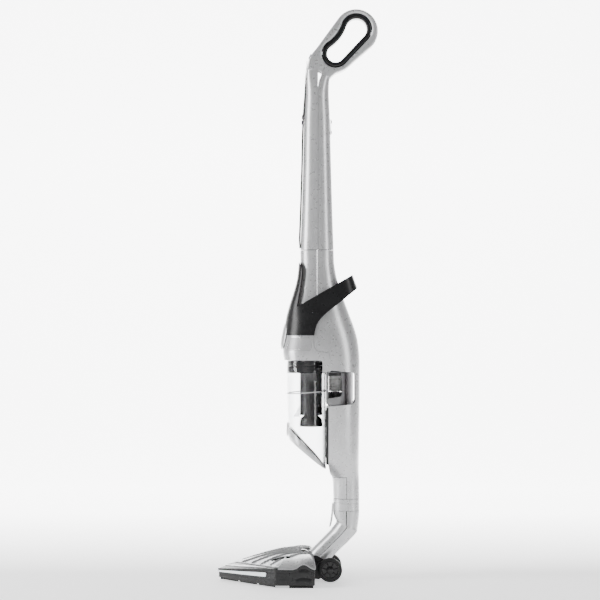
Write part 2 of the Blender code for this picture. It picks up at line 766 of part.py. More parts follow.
def rear_housing():
    heights = [635.8, 606, 580, 555, 530, 505, 480, 458, 440, 422, 338, 280, 256, 238, 222, 212, 203, 194, 157.4]

    def front_edge(z):
        return max(24.0, section_at(BODY_SECTIONS, z)[0] + 0.4)

    rows = patch_rows(BODY_SECTIONS, heights, front_edge, True, 0.0, 18)
    housing = solidify(grid("rear_housing", rows, SILVER), WALL)
    window = outline_solid(
        "grip_window",
        [[(40.0, 406.0), (40.0, 338.0), (60.0, 337.0), *arc((101.0, 349.0), 9.0, -80.0, 0.0, 3),
          *arc((101.0, 393.0), 9.0, 0.0, 82.0, 3), (60.0, 406.0)]],
        -80.0, 80.0, SILVER,
    )
    bolts = rod("bolt_hole", (107.6, -80.0, 415.0), (107.6, 80.0, 415.0), 3.4, SILVER, 12)
    return cut(housing, outline_solid("front_bay", [bay_side_view(GAP)], -90.0, 90.0, SILVER), window, bolts)


def grip_recess():
    """The hollow behind the window, where fingers reach round the container's frame."""
    def bow(y, back):
        return back + 14.0 * (abs(y) / 42.0) ** 1.6

    across = [44.0 * i / 8 for i in range(-8, 9)]
    shells = []
    for name, front, back, low, high in (("grip_recess", 58.4, 95.6, 334.4, 409.0), ("recess_hollow", 40.0, 94.0, 336.0, 407.4)):
        wide = 44.0 if name == "grip_recess" else 60.0
        outline = [(front, -wide)] + [(bow(y, back), y * wide / 44.0) for y in across] + [(front, wide)]
        shells.append(plan_solid(name, outline, low, high, SILVER))
    recess = cut(shells[0], shells[1])
    boolean(recess, body_core("recess_limit", 415.0, 330.0, -WALL - 0.6, SILVER), "INTERSECT")
    return recess


def bay_walls():
    """The black partitions behind and above the dust container."""
    lower = block("bay_wall", (54.6, -70.0, 224.0), (60.4, 70.0, 333.8), BLACK)
    boolean(lower, body_core("wall_limit", 345.0, 215.0, -WALL - 2.8, BLACK, 10), "INTERSECT")
    cut(lower, block("wall_hollow", (57.0, -38.0, 240.0), (70.0, 38.0, 330.0), BLACK))
    upper = outline_solid("motor_bulkhead", [[(-40.0, 426.0), (-40.0, 428.0), (62.6, 428.0), (62.6, 410.0), (54.6, 410.0),
                                              (54.6, 426.0)]], -70.0, 70.0, BLACK)
    boolean(upper, body_core("bulkhead_limit", 436.0, 405.0, -WALL - 1.6, BLACK), "INTERSECT")


def duct_front_cover():
    heights = [198.2, 192.0, 184.0, 176.0, 167.0, 157.4]
    rows = patch_rows(BODY_SECTIONS, heights, lambda z: 94.2 - GAP, False, -0.2, 14)
    return solidify(grid("duct_front_cover", rows, SILVER), WALL)


def body_front_shell():
    heights = [635.8, 610, 585, 560, 535, 512, 490, 474]
    rows = patch_rows(BODY_SECTIONS, heights, lambda z: 37.0 if z > 490 else 31.0, False, 0.0, 16)
    return solidify(grid("body_front_shell", rows, SILVER), WALL)


def carry_band():
    """The black band that rises from the front to a carrying grip standing off the back."""
    outer_rows, inner_rows = [], []
    ring = [2 * math.pi * i / 28 for i in range(28)]
    for z in (620.0, 600.0, 585.0, 570.0, 555.0, 540.0, 520.0, 500.0, 484.0, 466.0):
        front, back, width, square = section_at(BODY_SECTIONS, z)
        grip_back = 106.0 + 0.36 * (588.0 - z)
        reach = ease((z - 500.0) / 50.0)
        outer_back = back + 3.2 + (grip_back - back - 3.2) * reach
        side = width + 3.2 + 4.0 * reach
        outer_rows.append([(*ring_point(front - 3.2, outer_back, side, square + 1.4 * reach, a), z) for a in ring])
        inner_back = back + 1.2 + (grip_back - 7.0 - back) * reach
        side = width + 1.2 + 1.4 * reach
        inner_rows.append([(*ring_point(front - 1.2, inner_back, side, square + 1.4 * reach, a), z) for a in ring])
    inner_rows[0] = [(x, y, 630.0) for x, y, z in inner_rows[0]]
    inner_rows[-1] = [(x, y, 456.0) for x, y, z in inner_rows[-1]]
    band = solid_loft("carry_band", outer_rows, BLACK)
    cut(band, solid_loft("band_hollow", inner_rows, BLACK))
    side_view = [
        (3.5, 612.0), (8.0, 600.0), (6.0, 575.0), (-1.6, 527.0), (41.3, 551.8), (76.7, 571.9), (104.7, 588.0), (116.0, 590.0),
        (116.0, 563.6), (88.5, 541.5), (54.5, 514.9), (39.6, 498.6), (33.6, 484.0), (31.8, 472.8), (-60.0, 472.8),
        (-60.0, 612.0),
    ]
    boolean(band, outline_solid("band_side_view", [side_view], -90.0, 90.0, BLACK), "INTERSECT")
    return cut(band, front_oval("button_port", 1.8, BLACK))


def oval_point(angle, grow=0.0):
    """A point (y, z) on the rim of the front button."""
    c, s = math.cos(angle), math.sin(angle)
    half_width, half_height, square = 25.0 + grow, 26.0 + grow, 2.6
    y = math.copysign(half_width * abs(c) ** (2 / square), c)
    return y * (1.0 - 0.12 * s), 470.6 + math.copysign(half_height * abs(s) ** (2 / square), s)


def front_oval(name, grow, spec):
    rows = [[(x, *oval_point(2 * math.pi * i / 32, grow)) for i in range(32)] for x in (10.0, -60.0)]
    return solid_loft(name, rows, spec)


def vent_housing():
    """The silver front ring over the dust container, with an arm down each side."""
    outer = body_core("vent_housing", 472.4, 402.6, 0.2, SILVER, 5)
    cut(outer, body_core("vent_hollow", 480.0, 396.0, -3.0, SILVER, 6))
    side_view = [(-80.0, 424.6), (47.4, 424.6), (47.4, 402.6), (60.0, 402.6), (60.0, 435.8), (54.8, 439.2), (36.2, 443.0),
                 (30.6, 454.8), (31.0, 472.4), (-80.0, 472.4)]
    boolean(outer, outline_solid("vent_side_view", [side_view], -90.0, 90.0, SILVER), "INTERSECT")
    for side in (-1, 1):
        cut(outer, outline_solid("grille_port", [grille_outline(0.4)], *sorted((side * 18.0, side * 80.0)), SILVER))
    return outer


def grille_outline(grow):
    return [(-22.5 - grow, 444.0 - grow), (20.0, 444.0 - grow), (26.0 + grow, 448.0), (26.0 + grow, 463.0),
            (21.0, 468.0 + grow), (-13.0, 468.0 + grow)]


def vent_grilles():
    """The perforated panels set in the front ring's side ports."""
    for name, side in (("left", 1), ("right", -1)):
        rows = []
        for z, right in ((468.0, 20.5), (463.0, 25.6), (455.5, 26.0), (448.0, 25.6), (444.0, 19.5)):
            section = section_at(BODY_SECTIONS, z)
            left = -22.5 + 9.5 * (z - 444.0) / 24.0
            row = []
            for i in range(9):
                x = left + (right - left) * i / 8
                angle = edge_angle(section[0], section[1], section[3], x, -0.4)
                px, py = ring_point(*section, angle, -0.4)
                row.append((px, side * py, z))
            rows.append(row[::-1] if side > 0 else row)
        solidify(grid("vent_grille_" + name, rows, GREY), 1.4)


def release_button():
    """The pillow-shaped button that lets the dust container go, set on the body's front."""
    rows = []
    for scale, lift in ((0.0, 6.6), (0.35, 6.4), (0.65, 5.6), (0.88, 4.2), (1.0, 2.6), (1.0, 1.7), (0.5, 1.7), (0.0, 1.7)):
        row = []
        for i in range(28):
            y, z = oval_point(2 * math.pi * i / 28)
            y, z = y * max(scale, 0.02), 470.6 + (z - 470.6) * max(scale, 0.02)
            front, back, width, square = section_at(BODY_SECTIONS, z)
            middle, depth = (front + back) / 2, (back - front) / 2
            x = middle - depth * (1 - (abs(y) / width) ** square) ** (1 / square) - lift
            row.append((x, y, z))
        rows.append(row[::-1])
    return solid_loft("container_release_button", rows, SILVER)


def power_unit():
    turned("motor_can", [(33.0, 62.0), (38.0, 58.0), (38.0, 4.0), (33.0, 0.0), (4.5, 0.0), (4.5, 3.0), (34.5, 7.0),
                         (34.5, 30.0), (4.5, 32.0), (4.5, 62.0)],
           (42.0, 0.0, 432.0), (0.0, 0.0, 1.0), STEEL, 20)
    turned("fan_rotor", [(0.0, 70.0), (3.8, 70.0), (3.8, 26.0), (10.0, 25.0), (30.0, 13.0), (30.0, 10.0), (8.0, 10.0),
                         (0.0, 8.0)],
           (42.0, 0.0, 432.0), (0.0, 0.0, 1.0), GREY, 20)
    block("battery_pack", (62.0, -30.0, 236.0), (104.0, 30.0, 332.0), CELL, 6.0, 2)
    rod("housing_bolt", (107.6, -38.6, 415.0), (107.6, 38.6, 415.0), 2.8, STEEL, 12)


# ---------------------------------------------------------------- dust container
BIN_FRONT = -22.0
BIN_BACK = 54.0
BIN_HALF_WIDTH = 49.0
CYCLONE_X = 26.0


def bin_point(angle, z, offset=0.0):
    lean = (BAY_TOP_Z - z) / 150.0
    x, y = ring_point(BIN_FRONT + 4.0 * lean, BIN_BACK, BIN_HALF_WIDTH - 2.0 * lean, 2.3, angle, offset)
    return x, y, z


def lid_plane(x):
    """Height of the sloping joint between the bin and its lid."""
    return 294.8 - (x + 17.2) * 1.026


def lid_bottom(x):
    return 270.6 - (x + 15.3) * 0.834


def dust_bin():
    ring = [2 * math.pi * i / 32 for i in range(32)]
    rows = []
    for share in (0.0, 0.5, 1.0):
        row = []
        for a in ring:
            x, y, _ = bin_point(a, 300.0)
            low = lid_plane(x)
            z = (BAY_TOP_Z - 1.0) + (low - BAY_TOP_Z + 1.0) * share
            row.append(bin_point(a, z))
        rows.append(row)
    return solidify(grid("dust_bin", rows, CLEAR, closed=True), 2.0)


def bin_lid():
    ring = [2 * math.pi * i / 32 for i in range(32)]
    rows = []
    for share, offset in ((0.0, 0.3), (0.6, 0.6), (1.0, -2.0)):
        row = []
        for a in ring:
            x, y, _ = bin_point(a, 270.0, offset)
            top = lid_plane(x) - GAP
            row.append((x, y, top + (lid_bottom(x) - top) * share))
        rows.append(row)
    lid = grid("bin_lid", rows, SILVER, closed=True, cap_end=True)
    solidify(lid, 2.2)
    seal_rows = []
    for share in (0.06, 0.2):
        row = []
        for a in ring:
            x, y, _ = bin_point(a, 270.0, -2.4)
            top = lid_plane(x) - GAP
            row.append((x, y, top + (lid_bottom(x) - top) * share))
        seal_rows.append(row)
    solidify(grid("lid_seal", seal_rows, RUBBER, closed=True), 1.6)
    outline_solid("lid_latch", [[(-19.4, 303.0), (-21.0, 302.0), (-21.6, 284.0), (-20.0, 276.0), (-19.2, 284.0)]],
                  -9.0, 9.0, GREY, 0.5)
    return lid


def cyclone():
    turned("cyclone_cap", [(17.0, 422.0), (24.0, 419.0), (24.0, 403.0), (20.0, 400.6), (14.0, 400.6), (14.0, 422.0)],
           (CYCLONE_X, 0.0, 0.0), (0, 0, 1), BLACK, 24)
    turned("cyclone_shroud", [(22.2, 400.0), (22.2, 318.0), (20.0, 318.0), (20.0, 400.0)],
           (CYCLONE_X, 0.0, 0.0), (0, 0, 1), SMOKE, 24)
    turned("cyclone_screen", [(13.0, 399.0), (13.0, 318.0), (20.0, 312.5), (22.4, 300.0), (22.4, 296.0), (19.0, 296.0),
                              (17.6, 310.0), (11.0, 317.0), (11.0, 399.0)],
           (CYCLONE_X, 0.0, 0.0), (0, 0, 1), BLACK, 24)
    flap = [(3.0, 334.0), (-7.0, 316.0), (3.2, 315.0)]
    outline_solid("inlet_flap", [flap], -12.0, 12.0, CLEAR)


def container_frame():
    """The grey bow behind the container, open at each side over the filter."""
    rows = []
    for z, inset in ((402.1, -2.2), (399.0, -0.8), (341.5, -0.8), (338.4, -2.2)):
        width = section_at(BODY_SECTIONS, z)[2] - 0.6
        edge = edge_angle(20.0, 93.0, 3.4, 56.8, inset)
        row = []
        for i in range(21):
            x, y = ring_point(20.0, 93.0, width, 3.4, -edge + 2 * edge * i / 20, inset)
            row.append((x, y, z))
        rows.append(row)
    frame = solidify(grid("container_frame", rows, GREY), 5.0)
    window = [(40.0, 401.0 - 6.0), (40.0, 349.0), (80.0, 355.0), (84.4, 360.0), (83.4, 389.0), (79.0, 393.6)]
    cut(frame, outline_solid("filter_window", [window], -80.0, 80.0, GREY))
    join(frame, block("frame_front", (54.6, -49.5, 341.0), (58.6, 49.5, 399.5), GREY))
    turned("pleated_filter", [(12.6, 394.0), (12.6, 364.0), (6.0, 364.0), (6.0, 394.0)], (72.6, 0.0, 0.0), (0, 0, 1),
           PAPER, 20)
    return frame


# ---------------------------------------------------------------- handle
def bean(grow, count=10):
    """The handle opening grown outwards by a distance, as (x, z) points counter-clockwise."""
    top, bottom = LOOP_TOP, LOOP_BOTTOM
    r_top, r_bottom, r_waist = LOOP_TOP_RADIUS + grow, LOOP_BOTTOM_RADIUS + grow, LOOP_WAIST_RADIUS - grow
    axis = top - bottom
    length = axis.length
    along = axis.normalized()
    across = Vector((-along.y, along.x))
    to_top, to_bottom = r_waist + r_top, r_waist + r_bottom
    s = (to_bottom**2 - to_top**2 + length**2) / (2 * length)
    h = math.sqrt(to_bottom**2 - s**2)
    waist = bottom + along * s + across * h
    heading = math.degrees(math.atan2(along.y, along.x))
    lean = math.degrees(math.asin((r_top - r_bottom) / length))
    tangent = heading - 90 - lean

    def bearing(a, b):
        return math.degrees(math.atan2(b.y - a.y, b.x - a.x))

    top_end = bearing(top, waist)
    bottom_start = bearing(bottom, waist)
    points = arc(top, r_top, tangent, top_end, count)
    points += arc(waist, r_waist, bearing(waist, top) + 360, bearing(waist, bottom) + 360, count)[1:-1]
    points += arc(bottom, r_bottom, bottom_start, tangent + 360, count)
    return points


def handle():
    silhouette = [(17.4, 984.0), (21.6, 1003.0), (28.0, 1015.0), (36.0, 1024.0)]
    silhouette += arc((112.4, 1058.0), 42.0, 144.0, -46.0, 12)
    silhouette += [(110.0, 1000.6), (96.0, 988.0), (86.0, 981.6), (74.0, 977.0), (66.0, 971.0), (61.6, 966.0), (52.0, 972.0), (40.0, 980.0)]
    loop = outline_solid("handle_front_shell", [silhouette, bean(GRIP_THICKNESS + GAP)], -HANDLE_HALF_WIDTH, HANDLE_HALF_WIDTH,
                         SILVER, 3.2)
    heights = [996, 984, 972, 960, 940, 905, 870, 820, 760, 700, 665, 636.8]
    seam = 39.0
    front = solidify(grid("front_half_tube", patch_rows(TUBE_SECTIONS, heights, lambda z: seam, False, 0.0, 16), SILVER), WALL)
    join(loop, front)
    tongue = [(38.0, 952.0), (39.8, 961.0), (46.0, 976.0), (54.7, 994.0), (90.0, 994.0), (90.0, 952.0)]
    cut(loop, outline_solid("tongue_room", [tongue], -40.0, 40.0, SILVER))
    heights = [986, 979, 971, 962, 953, 935, 905, 870, 820, 760, 700, 665, 636.8]
    edge = ((953.0, seam + GAP), (961.0, 40.4), (976.0, 46.6), (993.6, 55.2))
    rear = grid("handle_rear_shell", patch_rows(TUBE_SECTIONS, heights, lambda z: piecewise(edge, z), True, 0.0, 16), SILVER)
    solidify(rear, WALL)
    back = outline_solid("handle_back", [silhouette, bean(GRIP_THICKNESS + GAP)], -HANDLE_HALF_WIDTH, HANDLE_HALF_WIDTH,
                         SILVER, 3.2)
    inner = [(44.0, 969.0), (46.7, 976.0), (55.2, 993.6), (89.6, 993.6), (89.6, 940.0), (44.0, 940.0)]
    boolean(back, outline_solid("tongue", [inner], -40.0, 40.0, SILVER), "INTERSECT")
    join(rear, back)
    outline_solid("grip_ring", [bean(GRIP_THICKNESS), bean(0.0)], -15.0, 15.0, SOFT, 2.4)
    return loop


def tube_front(z):
    return section_at(TUBE_SECTIONS, z)[0]


STRIP_SKIN = 0.8


def strip_depth(z):
    return 1.2 + 2.9 * ease((975.0 - z) / 130.0)


def strip_front(z):
    return tube_front(z) - GAP - strip_depth(z)


def control_strip():
    """The black panel down the front of the handle tube, with its switches."""
    rows = []
    for z in (1001, 993, 984, 972, 960, 940, 905, 870, 800, 740, 690, 656, 640):
        front, back, width, square = section_at(TUBE_SECTIONS, min(z, 990.0))
        flat = piecewise(((958.0, 15.9), (984.0, 17.4), (1003.0, 21.6)), z)
        row = []
        for i in range(9):
            y = 9.0 - 18.0 * i / 8
            round_front = (front + back) / 2 - (back - front) / 2 * (1 - abs(y / width) ** square) ** (1 / square)
            base = min(flat, round_front) - 0.3 if z > 956 else round_front
            depth = strip_depth(z) if z > 650 else 2.4
            row.append((base - GAP - 0.5 - (depth - 0.5) * math.cos(y / 9.0 * 1.1), y, z))
        rows.append(row)
    strip = solidify(grid("control_strip", rows, BLACK), STRIP_SKIN)
    for name, z in (("boost_button", 893.0), ("brush_button", 882.6)):
        x = strip_front(z)
        cut(strip, block("button_hole", (x - 5.0, -4.4, z - 4.4), (x + 5.0, 4.4, z + 4.4), BLACK))
        block(name, (x - 1.3, -4.0, z - 4.0), (x + 2.3, 4.0, z + 4.0), GREY, 0.8)
    return strip


def handle_details():
    along = Vector((6.4, 0.0, 12.0)).normalized()
    out = Vector((-along.z, 0.0, along.x))
    start = Vector((21.6, 0.0, 1003.0)) + along * 1.5
    corners = [start + out * 0.5, start + along * 10.5 + out * 0.5, start + along * 9.5 + out * 3.0, start + along * 1.2 + out * 2.4]
    outline_solid("power_slider", [[(p.x, p.z) for p in corners]], -6.5, 6.5, BLACK, 0.4)
    back = section_at(TUBE_SECTIONS, 874.0)[1]
    pad = block("rest_pad", (back + 0.8, -4.0, 859.0), (back + 1.8, 4.0, 889.0), RUBBER)
    for z in (884.0, 864.0):
        join(pad, rod("stud", (back + 1.2, 0, z), (back + 3.0, 0, z), 3.6, RUBBER, 16, 3.2))


def build():
    head_base()
    head_cover()
    front_deck()
    front_strip("lamp_lens", WHITE, (15.6, 20.4), (18.6, 29.2), 0.0, 1.2)
    trim_strip()
    bumper()
    sole_plate()
    brush()
    brush_drive()
    head_details()
    wheel_axle()
    yoke()
    neck()
    suction_hose()
    rear_housing()
    grip_recess()
    bay_walls()
    duct_front_cover()
    body_front_shell()
    carry_band()
    vent_housing()
    vent_grilles()
    release_button()
    power_unit()
    dust_bin()
    bin_lid()
    cyclone()
    container_frame()
    handle()
    control_strip()
    handle_details()


# Each moving body: its joint, a point on the joint's axis, and the objects that move.
MOVING = (
    ("brush_spin", (BRUSH_X, 0.0, BRUSH_Z), ("brush_roller", "brush_bristles")),
    ("pinion_spin", (MOTOR_X, 0.0, BRUSH_Z), ("motor_pinion",)),
    ("wheel_left_spin", (AXLE_X, 37.0, WHEEL_RADIUS), ("wheel_hub_left", "wheel_tyre_left")),
    ("wheel_right_spin", (AXLE_X, -37.0, WHEEL_RADIUS), ("wheel_hub_right", "wheel_tyre_right")),
    ("brush_latch_left_slide", (-29.0, 78.0, 48.0), ("brush_latch_left",)),
    ("brush_latch_right_slide", (-29.0, -78.0, 48.0), ("brush_latch_right",)),
    ("head_pitch", (AXLE_X, 0.0, WHEEL_RADIUS), ("swivel_yoke",)),
    ("neck_swivel", (SWIVEL_X, 0.0, SWIVEL_Z), (
        "elbow_front_shell", "elbow_rear_shell", "neck_collar", "suction_hose", "duct_front_cover", "rear_housing",
        "body_front_shell", "grip_recess", "bay_wall", "motor_bulkhead", "battery_pack", "motor_can", "housing_bolt",
        "carry_band", "vent_housing", "vent_grille_left", "vent_grille_right", "handle_front_shell",
        "handle_rear_shell", "grip_ring", "control_strip", "rest_pad",
    )),
    ("neck_lever_press", (66.5, 0.0, 128.0), ("neck_release_lever",)),
    ("fan_spin", (42.0, 0.0, 432.0), ("fan_rotor",)),
    ("container_slide", (CYCLONE_X, 0.0, 350.0), (
        "dust_bin", "cyclone_cap", "cyclone_shroud", "cyclone_screen", "inlet_flap", "container_frame",
        "pleated_filter",
    )),
    ("lid_open", (54.5, 0.0, 221.4), ("bin_lid", "lid_seal")),
    ("lid_clip_open", (-20.3, 0.0, 280.0), ("lid_latch",)),
    ("front_button_press", (-28.0, 0.0, 470.6), ("container_release_button",)),
    ("power_slide", (24.0, 0.0, 1010.0), ("power_slider",)),
    ("boost_press", (9.0, 0.0, 893.0), ("boost_button",)),
    ("brush_press", (9.0, 0.0, 882.6), ("brush_button",)),
)


def add_joint_empties():
    """Puts each moving body under an empty that stands on its joint's axis."""
    bpy.context.view_layer.update()
    for name, point, objects in MOVING:
        empty = bpy.data.objects.new(name, None)
        PARTS.objects.link(empty)
        empty.matrix_world = Matrix.Translation(Vector(point) * MM)
        for child in objects:
            obj = bpy.data.objects[child]
            obj.parent = empty
            obj.matrix_parent_inverse = empty.matrix_world.inverted()


clear_scene()
PARTS = collection(OBJECT_NAME)
CUTTERS = collection("cutters")
CUTTERS.hide_render = True
build()
add_joint_empties()
bpy.context.view_layer.update()
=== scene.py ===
"""Looks of the cordless stick vacuum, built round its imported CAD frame.

Shapes are drawn in millimetres with the same profiles as the CAD part, and MM scales them to metres.
The front faces -X, +Y is the cleaner's left side and +Z is up.
"""

import json
import math

import bmesh
import bpy
from mathutils import Matrix, Vector

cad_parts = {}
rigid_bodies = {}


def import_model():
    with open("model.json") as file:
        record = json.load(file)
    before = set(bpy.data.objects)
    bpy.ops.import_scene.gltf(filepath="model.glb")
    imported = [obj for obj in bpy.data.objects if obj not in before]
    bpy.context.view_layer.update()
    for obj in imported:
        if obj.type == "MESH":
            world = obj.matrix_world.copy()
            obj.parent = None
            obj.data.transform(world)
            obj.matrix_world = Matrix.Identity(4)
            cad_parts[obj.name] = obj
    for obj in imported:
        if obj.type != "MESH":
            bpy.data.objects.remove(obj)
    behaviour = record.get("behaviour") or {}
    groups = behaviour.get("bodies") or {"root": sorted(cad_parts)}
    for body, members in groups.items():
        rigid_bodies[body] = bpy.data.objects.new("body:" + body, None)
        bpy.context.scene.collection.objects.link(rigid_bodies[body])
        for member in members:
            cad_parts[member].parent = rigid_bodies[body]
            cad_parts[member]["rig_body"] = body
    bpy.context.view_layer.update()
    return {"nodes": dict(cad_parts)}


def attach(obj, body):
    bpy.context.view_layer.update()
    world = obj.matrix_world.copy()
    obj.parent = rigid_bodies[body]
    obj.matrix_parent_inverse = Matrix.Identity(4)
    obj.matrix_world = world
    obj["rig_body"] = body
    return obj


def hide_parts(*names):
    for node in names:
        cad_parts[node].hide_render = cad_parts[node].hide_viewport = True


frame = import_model()

MM = 0.001

# ---------------------------------------------------------------- driving dimensions
HALF_LENGTH = 154.4
GAP = 0.4
WALL = 2.4

HEAD_TIP_X = -HALF_LENGTH
HEAD_CORNER_X = -42.0
HEAD_REAR_X = 34.0
HEAD_HALF_WIDTH = 132.0
HEAD_SPINE_Z = 58.0
HEAD_SIDE_Z = 37.0
HEAD_TIP_Z = 22.0
HEAD_BUMP_X = 11.5
NOTCH_X = 8.0
NOTCH_HALF_WIDTH = 30.2

AXLE_X = 62.2
WHEEL_RADIUS = 23.0
WHEEL_IN = 30.4
WHEEL_OUT = 44.4
BORE_RADIUS = 4.12

SWIVEL_X = 34.0
SWIVEL_Z = 39.2
SWIVEL_DIRECTION = Vector((1.0, 0.0, 1.0)).normalized()
TUBE_END_SUM = 80.0

NECK_X = 93.8
NECK_DEPTH = 25.4
NECK_WIDTH = 23.0
NECK_TOP_Z = 157.0
COLLAR_BOTTOM_Z = 134.0

BRUSH_X = -16.0
BRUSH_Z = 19.4
BRUSH_PULLEY_RADIUS = 9.0
PINION_RADIUS = 4.5
MOTOR_X = 19.0

BAY_TOP_Z = 424.0
HANDLE_HALF_WIDTH = 17.0

# The handle loop's opening: two round ends joined by a straight side and a hollow waist.
LOOP_TOP = Vector((113.0, 1062.0))
LOOP_BOTTOM = Vector((73.0, 1014.5))
LOOP_TOP_RADIUS = 20.0
LOOP_BOTTOM_RADIUS = 16.5
LOOP_WAIST_RADIUS = 79.0
GRIP_THICKNESS = 10.0

# Side profile of the body: z, front x, back x, half width, squareness of the plan section.
BODY_SECTIONS = (
    (636.2, 5.2, 69.6, 26.0, 2.3),
    (611.0, 5.0, 70.6, 27.0, 2.3),
    (580.0, 1.5, 76.0, 30.0, 2.3),
    (555.0, -5.0, 84.0, 35.0, 2.3),
    (530.0, -13.0, 93.0, 41.5, 2.4),
    (505.0, -19.5, 102.5, 48.0, 2.4),
    (480.0, -23.0, 111.5, 53.0, 2.5),
    (460.0, -26.5, 116.2, 55.5, 2.6),
    (440.0, -28.5, 118.8, 56.5, 2.7),
    (424.0, -26.0, 119.6, 56.5, 2.8),
    (330.0, -20.0, 119.6, 55.0, 2.8),
    (262.0, -10.0, 118.6, 50.0, 2.7),
    (235.0, 20.0, 118.2, 44.0, 2.5),
    (217.0, 46.0, 118.0, 35.0, 2.4),
    (203.0, 62.0, 118.2, 27.5, 2.3),
    (196.0, 66.4, 118.6, 25.0, 2.2),
    (172.0, 68.0, 119.0, 23.6, 2.2),
    (157.4, 68.4, 119.2, 23.0, 2.2),
)

# Side profile of the handle tube, in the same form.
TUBE_SECTIONS = (
    (1000.0, 21.4, 66.0, 16.4, 5.0),
    (984.0, 17.6, 64.0, 16.9, 4.6),
    (972.0, 16.2, 62.4, 17.9, 3.6),
    (960.0, 15.4, 61.0, 19.4, 2.8),
    (940.0, 14.6, 60.2, 21.5, 2.3),
    (890.0, 12.6, 62.2, 22.5, 2.3),
    (800.0, 10.8, 64.6, 23.5, 2.3),
    (700.0, 7.8, 67.4, 25.0, 2.3),
    (636.6, 5.2, 69.6, 26.0, 2.3),
)

BIN_FRONT = -22.0
BIN_BACK = 54.0
BIN_HALF_WIDTH = 49.0
CYCLONE_X = 26.0
CYCLONE_FOOT = (CYCLONE_X, 0.0, 0.0)
FILTER_X = 72.6
FILTER_FOOT = (FILTER_X, 0.0, 0.0)
BOW_FRONT = 20.0
BOW_BACK = 93.0
BOW_SQUARE = 3.4
BOW_EDGE_X = 56.8
BUTTON_Z = 470.6
BOLT_X = 107.6
BOLT_Z = 415.0
VENT_HIGH = 468.0
VENT_LOW = 444.0

UP = (0, 0, 1)
SIDES = (("left", 1), ("right", -1))


# ---------------------------------------------------------------- profiles shared with the CAD part
def arc(centre, radius, start, end, count):
    """Points of an arc in a plane, with its angles in degrees."""
    angles = [math.radians(start + (end - start) * i / count) for i in range(count + 1)]
    return [(centre[0] + radius * math.cos(a), centre[1] + radius * math.sin(a)) for a in angles]


def ease(value):
    value = max(0.0, min(1.0, value))
    return value * value * (3 - 2 * value)


def section_at(sections, z):
    """The side profile at a height, along a smooth curve through the listed sections."""
    rows = sorted(sections, key=lambda row: row[0])
    z = max(rows[0][0], min(rows[-1][0], z))
    i = max(k for k in range(len(rows) - 1) if rows[k][0] <= z + 1e-9)
    before, low, high, after = rows[max(i - 1, 0)], rows[i], rows[i + 1], rows[min(i + 2, len(rows) - 1)]
    step = high[0] - low[0]
    t = (z - low[0]) / step
    values = []
    for k in range(1, 5):
        slope_low = (high[k] - before[k]) / (high[0] - before[0]) * step
        slope_high = (after[k] - low[k]) / (after[0] - low[0]) * step
        values.append(
            (2 * t**3 - 3 * t**2 + 1) * low[k]
            + (t**3 - 2 * t**2 + t) * slope_low
            + (3 * t**2 - 2 * t**3) * high[k]
            + (t**3 - t**2) * slope_high
        )
    return values


def ring_point(front, back, half_width, square, angle, offset=0.0):
    """A point of a plan section. Angle 0 is the back and 90 degrees is the left side."""
    middle = (front + back) / 2
    c, s = math.cos(angle), math.sin(angle)
    depth = (back - middle if c > 0 else middle - front) + offset
    x = middle + math.copysign(depth * abs(c) ** (2 / square), c)
    y = math.copysign((half_width + offset) * abs(s) ** (2 / square), s)
    return x, y


def edge_angle(front, back, square, x, offset=0.0):
    """The angle at which a plan section reaches an x."""
    middle = (front + back) / 2
    depth = (back - front) / 2 + offset
    share = max(-1.0, min(1.0, (x - middle) / depth))
    return math.acos(math.copysign(abs(share) ** (square / 2), share))


def patch_rows(sections, heights, edge_x, rear, offset=0.0, count=16):
    """Rows of the body surface behind, or in front of, the line edge_x(z)."""
    rows = []
    for z in heights:
        front, back, width, square = section_at(sections, z)
        edge = edge_angle(front, back, square, edge_x(z), offset)
        low, high = (-edge, edge) if rear else (edge, 2 * math.pi - edge)
        row = []
        for i in range(count + 1):
            x, y = ring_point(front, back, width, square, low + (high - low) * i / count, offset)
            row.append((x, y, z))
        rows.append(row)
    return rows


def turns(count):
    """Angles in even steps once round."""
    return [2 * math.pi * i / count for i in range(count)]


def sided(points, side):
    """Plan points mirrored for the right side (side -1), and still counter-clockwise."""
    made = [(x, side * y, *rest) for x, y, *rest in points]
    return made if side > 0 else made[::-1]


def spaced(high, low, count):
    return [high + (low - high) * i / count for i in range(count + 1)]


def piecewise(points, value):
    """Straight-line interpolation through (input, output) pairs in rising order."""
    if value <= points[0][0]:
        return points[0][1]
    for (a, fa), (b, fb) in zip(points, points[1:]):
        if value <= b:
            return fa + (fb - fa) * (value - a) / (b - a)
    return points[-1][1]


def inset_plan(plan, inset):
    """Moves each point of a plan inwards by the same distance from the edges that meet there."""
    moved = []
    count = len(plan)
    for i, (x, y, share) in enumerate(plan):
        before, here, after = Vector(plan[i - 1][:2]), Vector((x, y)), Vector(plan[(i + 1) % count][:2])
        into, out = (here - before).normalized(), (after - here).normalized()
        normal = Vector((-into.y, into.x)) + Vector((-out.y, out.x))
        normal.normalize()
        reach = inset / max(0.35, normal.dot(Vector((-into.y, into.x))))
        moved.append((x + normal.x * reach, y + normal.y * reach, share))
    return moved


def wall_top(x, share):
    """Height of the black side wall's top edge."""
    if share < 1.0:
        return HEAD_TIP_Z + (HEAD_SIDE_Z - HEAD_TIP_Z) * share
    reach = abs(x - HEAD_BUMP_X) / 21.0
    return HEAD_SIDE_Z + (9.0 * math.cos(reach * math.pi / 2) ** 2 if reach < 1 else 0.0)


def cover_point(plan_point, spread):
    """A point of the head's domed top, from the spine (spread 0) out to the wall (spread 1)."""
    x, y, share = plan_point
    edge = wall_top(x, share) if x < HEAD_REAR_X - 0.7 else HEAD_SIDE_Z
    fall = 1.6 + 1.2 * share if share < 1.0 else 3.0 + 4.0 * ease((x + 20) / 50)
    z = edge + (HEAD_SPINE_Z - edge) * (1 - spread**fall)
    return (x * spread, y * spread, z)


